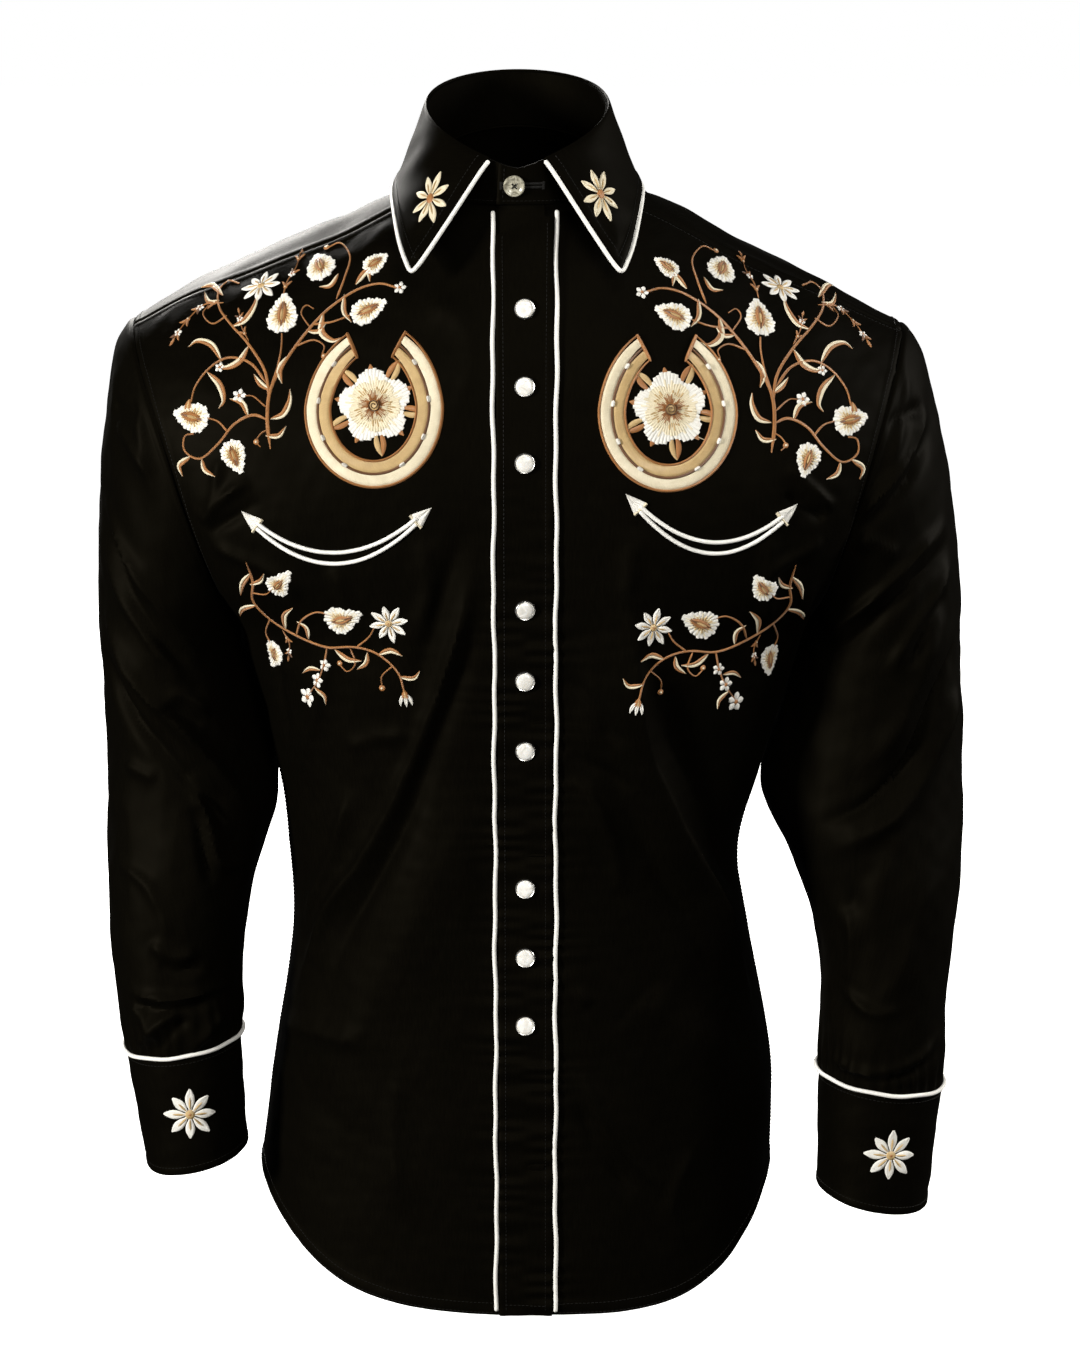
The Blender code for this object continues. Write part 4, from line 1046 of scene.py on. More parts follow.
def smoked_pearl():
    """Smoked pearl of the collar button: olive grey, streaked, with a bright polish."""
    finish, tree = new_finish("smoked_pearl")
    swirl = noise(tree, in_space(tree), 1 / 210, 4.0, 2.8)
    return set_look(finish, {
        "Base Color": mixed(tree, ranged(tree, swirl, 0, 1, 0.32, 0.68), (0.13, 0.12, 0.085),
                            (0.50, 0.48, 0.38)),
        "Roughness": ranged(tree, swirl, 0.12, 0.28), "Coat Weight": 0.7,
        "Coat Roughness": 0.05, "Normal": bump(tree, swirl, 0.00005, 0.3)})


BLACK = sateen()
PIPING = satin_thread("white_satin_piping", (0.90, 0.89, 0.85), (0.66, 0.65, 0.61), 0.00055)
WHITE = satin_thread("white_thread", (0.90, 0.89, 0.84), (0.55, 0.53, 0.48))
CREAM = satin_thread("cream_thread", (0.83, 0.76, 0.58), (0.52, 0.44, 0.28))
GOLD = satin_thread("gold_thread", (0.60, 0.43, 0.20), (0.33, 0.21, 0.085))
COPPER = satin_thread("copper_thread", (0.42, 0.185, 0.055), (0.20, 0.075, 0.022))
BROWN = satin_thread("brown_thread", (0.17, 0.075, 0.030), (0.07, 0.030, 0.012))
INK = satin_thread("black_thread", (0.010, 0.0095, 0.009), (0.004, 0.004, 0.0035),
                   dull=0.5, gloss=0.12, sheen=0.01)
PEARL = pearl()
METAL = snap_metal()
SMOKED = smoked_pearl()


# -------------------------------------------------------------------------------- cloth
# the spacing of the cloth's points: hidden panels, the fronts and sleeves, small pieces
CLOTH_STEP, FINE_CLOTH, SMALL_CLOTH, BAND_CLOTH = 0.0028, 0.0023, 0.0022, 0.0016
HEM_DEPTH = 0.0085
BODY_HEART = np.array((0, 0, -0.35))
SKINS = {}      # each panel's outer skin, to be met by rays
GRIDS = {}      # each panel's points and normals


def cloth_piece(name, grid, normals, lift, closed=False):
    """Cloth lifted off its plain form, for the model's node of its name; more can lie on it."""
    grid, normals = raised(grid, normals, lift, closed)
    add_piece(f"{name}_cloth", shell_mesh(name, grid, normals, WALL, closed), [BLACK],
              (name,))
    SKINS[name] = BVHTree.FromPolygons(grid.reshape(-1, 3).tolist(),
                                       quads(numbered(*grid.shape[:2])).tolist())
    GRIDS[name] = (grid, normals)


def whole_panel(half, at, **seams):
    """Points of a panel from its two halves, paced along the middle row and the column at."""
    def panel(across, up):
        return np.where((np.asarray(across) < 0)[..., None], half(RIGHT, np.abs(across), up),
                        half(LEFT, np.abs(across), up))
    shares = paced(lambda t: panel(t, np.full_like(t, 0.5)), CLOTH_STEP, high=True)
    ups = paced(lambda t: panel(np.full_like(t, at), t), CLOTH_STEP, high=True, **seams)
    return panel(*np.meshgrid(np.concatenate([-shares[:0:-1], shares]), ups))


def band_pucker(height, seed):
    """Small uneven cross ripples down the band, by height, about 1 in size."""
    t = height * 2 * pi
    slow = np.sin(t / 0.071 + seed) + np.sin(t / 0.113 + 2 * seed)
    phase = t / 0.0112 + 1.9 * np.sin(t / 0.047 + seed) + 1.2 * np.sin(t / 0.083 + 3 * seed)
    return np.sin(phase) * (0.62 + 0.38 * np.sin(slow)) * smooth(-0.16, -0.30, height)


def make_front(side, name):
    rises = paced(lambda t: plain_front(side, 0.5, t), FINE_CLOTH, high=True)
    acrosses = paced(lambda t: plain_front(side, t, 0.5), FINE_CLOTH, high=True)
    grid = sloped(relaxed(plain_front(side, acrosses[None], rises[:, None])))
    normals = outward(grid, grid - BODY_HEART)
    inner, outer, low, high = from_edges(grid)
    from_band = np.where(grid[..., 2] < NECK_FRONT_Z, np.abs(grid[..., 0]), 1)
    calm = (smooth(0.018, 0.042, from_band) * calm_by(outer) * calm_by(high)
            * calm_by(inner, 0.010))
    lift = creases(grid, normals, FRONT_CREASES) * calm
    lift += rough(grid, 0.036, 0.0006) * calm + rough(grid, 0.015, 0.00018) * calm
    beside = np.exp(-np.maximum(from_band - 0.019, 0) / 0.010)
    lift += 0.0013 * band_pucker(grid[..., 2], 1.0 + side) * beside
    lift += seam_groove(outer) + seam_groove(high) + hem_step(low, HEM_DEPTH)
    cloth_piece(name, grid, normals, lift)


def make_back():
    grid = sloped(relaxed(whole_panel(half_back, 0.3)))
    normals = outward(grid, grid - BODY_HEART)
    first, last, low, high = from_edges(grid)
    edge = np.minimum(first, last)
    calm = calm_by(edge) * calm_by(high)
    lift = creases(grid, normals, BACK_CREASES, BACK) * calm
    lift += rough(grid, 0.040, 0.0007) * calm + rough(grid, 0.015, 0.00018) * calm
    lift += seam_groove(edge) + seam_groove(high) + hem_step(low, HEM_DEPTH)
    cloth_piece("back", grid, normals, lift)


def make_yoke():
    grid = sloped(whole_panel(half_yoke, 0.6, low=True))
    normals = outward(grid, grid - (0, 0, -0.3))
    first, last, low, high = from_edges(grid)
    edge = np.minimum(first, last)
    calm = calm_by(edge) * calm_by(high) * calm_by(low)
    lift = creases(grid, normals, YOKE_CREASES) * calm
    lift += rough(grid, 0.034, 0.0005) * calm
    lift += seam_groove(edge) + seam_groove(high) + seam_groove(low)
    cloth_piece("yoke", grid, normals, lift)


def make_sleeve(side, name, front_table, back_table):
    whole = SLEEVE_HEAD + length_of(SLEEVE[side])
    drops = -SLEEVE_HEAD + whole * paced(
        lambda t: sleeve(side, 0.9 * pi / 2, -SLEEVE_HEAD + t * whole), FINE_CLOTH, low=True)
    angles = 2 * pi * paced(lambda t: sleeve(side, 2 * pi * t, 0.0), FINE_CLOTH)
    grid = sloped(sleeve(side, angles[None], drops[:, None]))
    outer, inner = (read(SLEEVE[side], edge, np.maximum(drops, 0)) for edge in ("outer", "inner"))
    axis = vec(side * (outer + inner) / 2, 0, UPPER_ARM_Z - drops)[:, None]
    on_head = drops[:, None, None] < 0
    heart = np.where(on_head, axis - (side * 0.02, 0, 0.03), axis)
    normals = outward(grid, grid - heart, closed=True)
    u, v = np.moveaxis(unrolled(grid), -1, 0)
    from_cuff = v[-1:] - v
    under = np.abs(u - u[:, [np.argmin(np.abs(angles - pi))]])
    calm = calm_by(v, 0.014) * (0.4 + 0.6 * calm_by(from_cuff))
    lift = creases(grid, normals, front_table) * calm
    lift += creases(grid, normals, back_table, BACK) * calm
    lift += rough(grid, 0.034, 0.0007) * calm + rough(grid, 0.013, 0.00022) * calm
    gather = 1 - smooth(0.004, 0.045, from_cuff)
    lift += 0.0007 * gather * np.sin(angles[None] * 31 + 2 * np.sin(angles[None] * 5))
    head = np.exp(-((v - 0.018) / 0.017) ** 2) * smooth(0.1, 0.9, np.cos(angles))[None]
    lift += 0.0014 * head + seam_groove(v) + seam_groove(under) * smooth(0.02, 0.05, v)
    cloth_piece(name, grid, normals, lift, closed=True)


def make_cuff(side, name):
    height = length_of(CUFF[side])
    turns = paced(lambda t: cuff(side, t, 0.0), SMALL_CLOTH, low=True, high=True)
    drops = height * paced(lambda t: cuff(side, 0.5, t * height), SMALL_CLOTH, low=True,
                           high=True)
    grid = cuff(side, turns[None], drops[:, None])
    heart = (cuff(side, 0.0, 0.04) + cuff(side, 0.45, 0.04)) / 2
    first, last, top, bottom = from_edges(grid)
    lift = rough(grid, 0.030, 0.00045) + rough(grid, 0.011, 0.00015)
    lift += hem_step(np.minimum(np.minimum(first, last), bottom), 0.0055)
    lift -= 0.0004 * np.exp(-(top / 0.0012) ** 2)
    cloth_piece(name, grid, outward(grid, grid - heart), lift)


def make_stand():
    whole = 2 * pi + STAND_OVERLAP
    angles = STAND_END + whole * paced(lambda t: stand(STAND_END + whole * t, 1.0),
                                       SMALL_CLOTH, low=True, high=True)
    ups = paced(lambda t: stand(0.2, t), BAND_CLOTH)
    grid = stand(angles[None], ups[:, None])
    first, last, low, _ = from_edges(grid)
    lift = rough(grid, 0.020, 0.00025) + hem_step(np.minimum(first, last), 0.0045)
    lift += hem_step(low, 0.0030) * 0.6
    cloth_piece("collar_stand", grid, outward(grid, grid - (NECK_X, 0, 0.01)), lift)


def make_fall():
    half = paced(lambda t: fall(LEFT, t, 1.0), SMALL_CLOTH, low=True)
    downs = paced(lambda t: fall(LEFT, 0.25, t), 0.0018, high=True)
    left, right = (fall(side, half[None], downs[:, None]) for side in (LEFT, RIGHT))
    grid = np.concatenate([left, right[:, -2::-1]], 1)
    normals = outward(grid, grid - (NECK_X, 0, 0))
    first, last, top, low = from_edges(grid)
    border = np.minimum(np.minimum(first, last), low)
    lift = rough(grid, 0.030, 0.0004) * smooth(0, 0.01, border) * smooth(0, 0.02, top)
    lift += creases(grid, normals, COLLAR_CREASES)
    lift += hem_step(border, 0.0062) * smooth(0, 0.01, top)
    cloth_piece("collar_fall", grid, normals, lift)


def on_front(x, rise):
    """The plain fronts at a distance from their middle line."""
    x, rise = np.broadcast_arrays(np.asarray(x, float), rise)
    sides = []
    for side in (RIGHT, LEFT):
        inner, outer = inner_edge(side, rise), outer_edge(side, FRONT, rise)
        run = np.clip((x - inner[..., 0]) / (outer[..., 0] - inner[..., 0]), 0, 1)
        across = np.arcsin(run ** (read(SECTION, "front_round", rise) / 2)) / (pi / 2)
        sides.append(plain_front(side, across, rise))
    return np.where((x > FRONT_SPLIT)[..., None], sides[1], sides[0])


def make_band():
    rises = BAND_TOP * paced(lambda t: on_front(0.0, t * BAND_TOP), BAND_CLOTH, low=True)
    xs = BAND_WIDTH * (paced(lambda t: vec(t * BAND_WIDTH, 0, 0), BAND_CLOTH, True, True) - 0.5)
    grid = on_front(xs[None], rises[:, None])
    first, last, low, _ = from_edges(grid)
    height = grid[..., 2]
    near_edge = (2 * np.abs(xs) / BAND_WIDTH)[None] ** 2
    side_mix = smooth(-0.35, 0.35, 2 * xs / BAND_WIDTH)[None]
    pucker = band_pucker(height, 0.0) * (1 - side_mix) + band_pucker(height, 2.0) * side_mix
    lift = WALL + 2 * GAP + BAND_STANDS_OFF * smooth(0.80, 0.88, rises)[:, None]
    lift = lift + 0.0011 * pucker * (0.8 + 0.2 * near_edge) + rough(grid, 0.025, 0.0004)
    lift += 0.0012 * band_pucker(height * 0.41 - 0.1, 0.7) * (1 - 0.5 * near_edge)
    lift += hem_step(np.minimum(first, last), 0.0052) * 0.8 + hem_step(low, HEM_DEPTH) * 0.6
    cloth_piece("placket", grid, outward(grid, grid - BODY_HEART), lift)


# --------------------------------------------------------------------- laid on the cloth
WHITES, CREAMS, GOLDS, COPPERS, BROWNS, INKS = range(6)
THREADS = [WHITE, CREAM, GOLD, COPPER, BROWN, INK]
CHEST = ("front_right", "front_left", "yoke")
LINE_STEP = 0.0016      # between the points of a line on the cloth
EASED_OVER = 7          # points that a line's normals are averaged over
START_OFF = 0.010       # how far off the cloth a ray towards it starts
# cross sections of a padded strip: places across it from -1 to 1, and heights
PROFILES = {
    "plump": ((-1, -0.35), (-0.72, 0.62), (0, 1), (0.72, 0.62), (1, -0.35)),
    "parted": ((-1, -0.35), (-0.8, 0.6), (-0.42, 1), (0, 0.3), (0.42, 1), (0.8, 0.6),
               (1, -0.35)),
    "flat": ((-1, -0.35), (-0.86, 0.75), (-0.4, 1), (0.4, 1), (0.86, 0.75), (1, -0.35))}


def cast(skins, starts, way, reach=2.0):
    """The first cloth met from each start along a way, and its normals; else the start."""
    starts = np.asarray(starts, float)
    ways = np.broadcast_to(np.asarray(way, float), starts.shape)
    spots, normals = starts.copy(), -ways.copy()
    for place in np.ndindex(starts.shape[:-1]):
        start, heading, best = Vector(starts[place]), Vector(ways[place]), reach
        for name in skins:
            spot, normal, _, run = SKINS[name].ray_cast(start, heading, best)
            if spot is not None and run < best:
                best = run
                spots[place] = spot
                normals[place] = normal if normal.dot(heading) < 0 else -normal
    return spots, normals


def from_front(skins, x, z):
    """The cloth seen from the front at places x and z."""
    return cast(skins, vec(x, -0.6, z), (0, 1, 0))


def traced_line(skins, points):
    """A smooth line on the cloth through places (x, z) in millimetres, and its normals."""
    line = even(curve(np.array(points, float) / 1000), LINE_STEP)
    spots, normals = from_front(skins, line[:, 0], line[:, 1])
    return spots, eased(normals)


def eased(normals):
    """Normals averaged along a line."""
    if len(normals) < EASED_OVER:
        return unit(normals + normals.mean(0))
    return unit(averaged(normals, np.hanning(EASED_OVER + 2)[1:-1]))


def settled(skins, points, normals):
    """The points moved onto the cloth along the normals, or to the nearest place on it."""
    on = np.broadcast_to(normals, points.shape)
    starts = points + on * START_OFF
    spots = cast(skins, starts, -on, 2.6 * START_OFF)[0]
    missed = np.linalg.norm(spots - starts, axis=-1) < 1e-9
    for place in zip(*np.nonzero(missed)):
        near = [SKINS[name].find_nearest(Vector(points[place])) for name in skins]
        spots[place] = min(near, key=lambda found: found[3])[0]
    return spots


def new_work(skins):
    """What is gathered for one mesh that lies on some skins."""
    return {"skins": skins, "points": [], "faces": [], "flats": [], "kinds": [], "count": 0}


def add_faces(work, points, faces, flats, kinds):
    """Add points, faces by their numbers, a place on flat thread for each corner, finishes."""
    work["points"].append(points)
    work["faces"].append(faces + work["count"])
    work["flats"].append(flats)
    work["kinds"].append(kinds)
    work["count"] += len(points)


def gather(work, grid, kind, flat, facing, around=False):
    """Add a grid of points with its place on flat thread, its faces looking to facing."""
    rows, cols = grid.shape[:2]
    index = numbered(rows, cols)
    corners, points = quads(index), grid.reshape(-1, 3)
    if not look_away(points, corners, np.broadcast_to(facing, grid.shape).reshape(-1, 3)):
        corners = corners[:, ::-1]
    if around:
        index[:, -1] = index[:, 0]
    add_faces(work, points, index.ravel()[corners], flat.reshape(-1, 2)[corners].reshape(-1, 2),
              np.broadcast_to(kind, (rows - 1, cols - 1)).ravel())


def finish_work(name, work, finishes, nodes=(), sharp=60):
    """The piece made of what was gathered; points that no face uses are left out."""
    faces = np.vstack(work["faces"])
    used, place = np.unique(faces, return_inverse=True)
    mesh = new_mesh(name, np.vstack(work["points"])[used], [place.reshape(faces.shape)],
                    np.vstack(work["flats"]), np.concatenate(work["kinds"]))
    add_piece(name, mesh, finishes, nodes, sharp)


def blade(work, spots, normals, widths, crown, kind, profile="plump", slant=0.35):
    """A padded strip of satin stitches along a line on the cloth, sunk at both its ends."""
    sides = unit(np.cross(normals, unit(np.gradient(spots, axis=0))))
    across, high = np.array(PROFILES[profile]).T
    aside = widths[:, None] * across[None]
    grid = settled(work["skins"], spots[:, None] + sides[:, None] * aside[..., None],
                   normals[:, None])
    share = np.minimum(1, widths / max(widths.max() * 0.6, 1e-6))
    heights = crown * np.sqrt(share)[:, None] * high[None]
    flat = np.stack([runs_along(spots)[:, None] + slant * aside, aside], -1)
    low = np.full_like(heights[:1], -0.35 * crown)
    heights = np.concatenate([low, heights, low])
    grid, flat, ups = (np.concatenate([rows[:1], rows, rows[-1:]])
                       for rows in (grid, flat, normals[:, None]))
    gather(work, grid + ups * heights[..., None], kind, flat, ups)


def stem(work, points, first, last):
    """A copper tendril through places in millimetres, its width running from first to last."""
    spots, normals = traced_line(work["skins"], points)
    t = np.linspace(0, 1, len(spots))
    widths = (first + (last - first) * t) / 1700 * (0.35 + 0.65 * smooth(0, 0.08, t))
    blade(work, spots, normals, widths, 0.0007, COPPERS, slant=1.2)


def spot_frame(skins, x, z, turn=0.0):
    """A place on the cloth in millimetres, its normal and the two ways of a motif on it."""
    spots, normals = from_front(skins, np.array([x / 1000]), np.array([z / 1000]))
    normal = normals[0]
    right = unit(np.array((1.0, 0, 0)) - normal * normal[0])
    up = np.cross(normal, right)
    along, aside = np.cos(np.radians(turn)), np.sin(np.radians(turn))
    return spots[0], normal, right * along + up * aside, up * along - right * aside


def on_frame(work, frame, places):
    """Places of a motif, in millimetres, set on the cloth."""
    spot, normal, right, up = frame
    points = spot + places[:, :1] / 1000 * right + places[:, 1:] / 1000 * up
    return settled(work["skins"], points, normal), np.broadcast_to(normal, points.shape)


def spoke(angle):
    """The way of an angle on a motif."""
    return np.array((np.cos(angle), np.sin(angle)))


def petal(work, frame, start, end, width, kind, bend=0.0, profile="plump", crown=0.0008,
          fullest=1.0, steps=8, blunt=False):
    """A pointed petal from start to end in the motif's millimetres."""
    t = np.linspace(0, 1, steps)
    start, along = np.array(start, float), np.subtract(end, start)
    across = np.array((-along[1], along[0]))
    places = start + along * t[:, None] + across * (bend * 4 * t * (1 - t))[:, None]
    spots, normals = on_frame(work, frame, places)
    if blunt:
        widths = width / 2000 * np.sqrt(1 - (np.abs(t - 0.54) / 0.56) ** 4)
    else:
        widths = width / 2000 * np.maximum(np.sin(pi * t ** fullest), 0.10) ** 0.75
    blade(work, spots, normals, widths, crown, kind, profile)


def knob(work, frame, centre, radius, height, kind, long=1.0, sides=14):
    """A small padded disc of thread."""
    turns = np.linspace(0, 2 * pi, sides + 1)
    rounds = np.array(((1.0, -0.35), (0.82, 0.6), (0.45, 0.95), (0.01, 1.0)))
    reach = rounds[:, :1] * radius
    places = np.stack([centre[0] + reach * np.cos(turns),
                       centre[1] + reach * long * np.sin(turns)], -1)
    spots = on_frame(work, frame, places.reshape(-1, 2))[0].reshape(*places.shape[:2], 3)
    lift = (rounds[:, 1:] * height * np.ones_like(turns))[..., None]
    gather(work, spots + frame[1] * lift, kind, places / 1000, frame[1], around=True)


def fan(work, frame, inner, outer, middle, spread, count, width, kind, crown, round_end,
        ragged):
    """Rays of satin stitch that fill a rounded petal, turned towards the angle middle."""
    for k in range(count):
        share = 2 * k / (count - 1) - 1
        way = spoke(np.radians(middle + share * spread / 2))
        reach = outer * (1 - round_end * share ** 2 + ragged * (-1) ** k)
        petal(work, frame, way * inner, way * reach, width, kind, crown=crown, steps=6,
              blunt=True)


def daisy(work, x, z, radius, turn, heart=GOLDS, long=1.0, kind=WHITES):
    """A star daisy: eight parted petals with a gold line, round a double heart."""
    frame = spot_frame(work["skins"], x, z, turn)
    for k in range(8):
        way = spoke(2 * pi * (k + 0.5) / 8) * (1, long)
        length = radius * (1 + 0.05 * np.sin(k * 2.3))
        petal(work, frame, way * 0.14 * radius, way * length, 0.40 * radius, kind,
              profile="parted", fullest=1.1)
        petal(work, frame, way * 0.2 * radius, way * 0.66 * length, 0.12 * radius, GOLDS,
              crown=0.0013, steps=6)
    knob(work, frame, (0, 0), 0.21 * radius, 0.0012, heart, long)
    knob(work, frame, (0, 0), 0.09 * radius, 0.0015, COPPERS, long, 8)


def blossom(work, x, z, length, turn):
    """A pointed blossom: three rounds of ragged rays and a heart of three tones."""
    frame = spot_frame(work["skins"], x, z, turn)
    half, wide = length / 2, length * 0.385
    for count, inner, outer, ragged, breadth, kind, crown, blunt in (
            (23, 0.50, 1.00, 0.035, 0.145, WHITES, 0.0008, True),
            (19, 0.34, 0.86, 0.070, 0.100, CREAMS, 0.00095, False),
            (15, 0.18, 0.64, 0.070, 0.100, GOLDS, 0.0011, False)):
        for k in range(count):
            angle = 2 * pi * k / count + 0.1 * blunt
            edge = np.array((wide * np.sin(angle) * (1 - 0.30 * np.cos(angle)),
                             half * np.cos(angle) * (1 + 0.16 * max(np.cos(angle), 0) ** 6)))
            petal(work, frame, inner * edge, (outer + ragged * (-1) ** k) * edge,
                  length * breadth, kind, 0.03 * blunt, crown=crown, steps=6, blunt=blunt)
    for low, high, breadth, kind, crown, profile, steps in (
            (-0.68, 0.80, 0.42, BROWNS, 0.0013, "plump", 8),
            (-0.58, 0.70, 0.32, COPPERS, 0.0017, "parted", 8),
            (-0.42, 0.36, 0.13, GOLDS, 0.0019, "plump", 6)):
        petal(work, frame, (0, low * half), (0, high * half), length * breadth, kind,
              profile=profile, crown=crown, steps=steps)


def leaf(work, points, width, tones=(COPPERS, CREAMS)):
    """A crescent leaf of two tones, side by side along its curved middle."""
    spots, normals = traced_line(work["skins"], points)
    sides = unit(np.cross(normals, unit(np.gradient(spots, axis=0))))
    t = np.linspace(0, 1, len(spots))
    half = width / 2000 * np.maximum(np.sin(pi * t ** 0.85), 0.08) ** 0.8
    for aside, share, kind in ((0.55, 0.55, tones[0]), (-0.45, 0.5, tones[1])):
        blade(work, settled(work["skins"], spots + sides * (half * aside)[:, None], normals),
              normals, half * share, 0.0007, kind)


def little_flower(work, x, z, radius, turn):
    """Five short white petals round a copper heart."""
    frame = spot_frame(work["skins"], x, z, turn)
    for k in range(5):
        way = spoke(2 * pi * k / 5)
        petal(work, frame, way * 0.1 * radius, way * radius, 0.78 * radius, WHITES,
              fullest=1.4, steps=6)
    knob(work, frame, (0, 0), 0.30 * radius, 0.0012, COPPERS, sides=8)


def berry(work, x, z, radius):
    """A ring of copper thread with a pale heart."""
    frame = spot_frame(work["skins"], x, z)
    knob(work, frame, (0, 0), radius, 0.0008, COPPERS, sides=10)
    knob(work, frame, (0, 0), radius * 0.45, 0.0013, CREAMS, sides=8)


def bell(work, x, z, length, turn):
    """A bell flower: three white petals out of a copper cup."""
    frame = spot_frame(work["skins"], x, z, turn)
    for aside, out in ((-0.34, 0.92), (0.34, 0.92), (0, 1.0)):
        petal(work, frame, (0.1 * aside * length, 0.2 * length), (aside * length, out * length),
              length * 0.24, WHITES, bend=-0.1 * np.sign(aside), profile="parted")
    for aside in (-0.14, 0.14, 0):
        petal(work, frame, (0, -0.05 * length), (aside * length, 0.52 * length), length * 0.24,
              COPPERS if aside else GOLDS, crown=0.0011, fullest=1.2, steps=6)


def sprig(work, points, count, size):
    """A thin stem with pairs of small leaves, berries and little flowers by turns."""
    stem(work, points, 0.9, 0.5)
    line = even(curve(points), 0.5)
    angles = np.degrees(np.arctan2(*unit(np.gradient(line, axis=0)).T[::-1])) - 90
    for k in range(count):
        at = int((k + 0.6) / count * (len(line) - 1))
        frame = spot_frame(work["skins"], *line[at], angles[at])
        for aside in (-1, 1):
            petal(work, frame, (0.15 * aside * size, 0), (aside * size, size * 1.2),
                  size * 0.52, COPPERS if (k + aside) % 4 else BROWNS, bend=0.12 * aside,
                  steps=6)
        if k % 2:
            little_flower(work, *line[at], size * 0.72, angles[at])
        else:
            berry(work, *line[at], size * 0.40)
    frame = spot_frame(work["skins"], *line[-1], angles[-1])
    petal(work, frame, (0, -0.2 * size), (0, 1.3 * size), size * 0.6, COPPERS, steps=6)


# the chest's design on the wearer's right, in millimetres as seen from the front; each table
# has the motifs above the pocket and then those below it
STEMS = (("first", "last", "path"), (
    (2.4, 1.3, ((-157, -168), (-159, -150), (-157, -132), (-147, -114), (-134, -97), (-121, -84),
                (-104, -73), (-90, -69), (-79, -71))),
    (2.0, 1.1, ((-158, -139), (-161, -122), (-172, -107), (-184, -96), (-193, -86), (-194, -77),
                (-188, -72), (-181, -73))),
    (1.8, 1.0, ((-160, -129), (-170, -118), (-184, -115), (-196, -121), (-205, -132),
                (-208, -142))),
    (1.9, 1.0, ((-158, -151), (-168, -148), (-180, -154), (-190, -166), (-202, -176),
                (-212, -172), (-212, -163), (-206, -161))),
    (1.4, 0.9, ((-184, -159), (-190, -153), (-197, -151))),
    (1.4, 0.9, ((-157, -131), (-153, -119), (-151, -108), (-151, -100))),
    (1.5, 0.9, ((-131, -94), (-119, -92), (-108, -88))),
    (1.5, 0.8, ((-117, -79), (-112, -66), (-109, -54), (-116, -47), (-124, -50))),
    (1.3, 0.8, ((-142, -107), (-131, -103), (-124, -106), (-125, -111))),
    (1.2, 0.7, ((-187, -91), (-196, -96), (-203, -91), (-200, -86))),
    (1.2, 0.7, ((-160, -143), (-168, -137), (-174, -137))),
    (1.0, 0.7, ((-158, -156), (-163, -159), (-166, -164), (-163, -167))),
    (1.0, 0.7, ((-133, -96), (-139, -88), (-136, -83), (-131, -85))),
    # below the pocket
    (1.9, 1.2, ((-174, -240), (-171, -254), (-172, -268), (-162, -281), (-146, -290),
                (-126, -296), (-107, -294), (-92, -298), (-80, -309), (-76, -322))),
    (1.5, 0.9, ((-145, -290), (-141, -279), (-131, -272), (-120, -274))),
    (1.3, 0.8, ((-125, -296), (-127, -306), (-131, -318), (-138, -330))),
    (1.3, 0.8, ((-162, -281), (-166, -292), (-163, -300))),
    (1.3, 0.8, ((-106, -294), (-98, -287), (-94, -280))),
    (1.1, 0.7, ((-172, -262), (-163, -262), (-158, -257))),
    (1.1, 0.7, ((-110, -295), (-107, -305), (-112, -311), (-117, -307))),
    (1.1, 0.7, ((-83, -305), (-90, -312), (-90, -319))),
))
BLOSSOMS = (("x", "z", "length", "turn"), (
    (-151, -89, 25, -4),
    (-97, -85, 22, -72),
    (-128, -60, 24, 14),
    (-207, -151, 23, 74),
    (-93, -57, 16, -62),
    (-180, -173, 20, -158),
    # below the pocket
    (-154, -254, 19, -30),
    (-161, -307, 20, 176),
    (-115, -276, 23, -62),
))
LEAVES = (("width", "path"), (
    (4.6, ((-172, -108), (-178, -117), (-187, -121), (-190, -117))),
    (4.4, ((-183, -97), (-175, -93), (-169, -84), (-168, -77))),
    (4.2, ((-191, -80), (-199, -75), (-207, -77))),
    (4.2, ((-189, -117), (-196, -108), (-205, -106), (-211, -110))),
    (4.4, ((-198, -124), (-190, -131), (-187, -140), (-190, -145))),
    (4.4, ((-147, -113), (-152, -121), (-150, -129))),
    (4.6, ((-125, -87), (-126, -98), (-119, -103), (-113, -101))),
    (4.2, ((-105, -70), (-98, -62), (-96, -68))),
    (4.2, ((-157, -150), (-149, -147), (-145, -139), (-145, -132))),
    (3.8, ((-208, -175), (-216, -181), (-214, -188))),
    (3.8, ((-171, -149), (-175, -141), (-183, -139))),
    (3.6, ((-158, -133), (-164, -129), (-168, -124))),
    (3.4, ((-112, -76), (-112, -86), (-107, -92))),
    (3.4, ((-193, -83), (-200, -84), (-204, -79))),
    (3.4, ((-201, -176), (-199, -183), (-192, -186))),
    (3.2, ((-135, -98), (-128, -98), (-123, -93))),
    (3.2, ((-116, -64), (-121, -71), (-128, -72))),
    (3.4, ((-160, -160), (-152, -160), (-147, -154))),
    # below the pocket
    (4.0, ((-172, -248), (-178, -256), (-180, -265))),
    (4.0, ((-152, -287), (-152, -277), (-146, -270))),
    (4.0, ((-120, -297), (-112, -303), (-103, -303))),
    (3.8, ((-92, -298), (-84, -295), (-77, -298))),
    (3.8, ((-170, -271), (-180, -276), (-184, -285))),
    (3.4, ((-137, -292), (-138, -284), (-144, -280))),
    (3.4, ((-99, -297), (-100, -304), (-106, -309))),
    (3.2, ((-173, -256), (-166, -253), (-163, -247))),
    (3.2, ((-79, -312), (-70, -313), (-66, -308))),
))
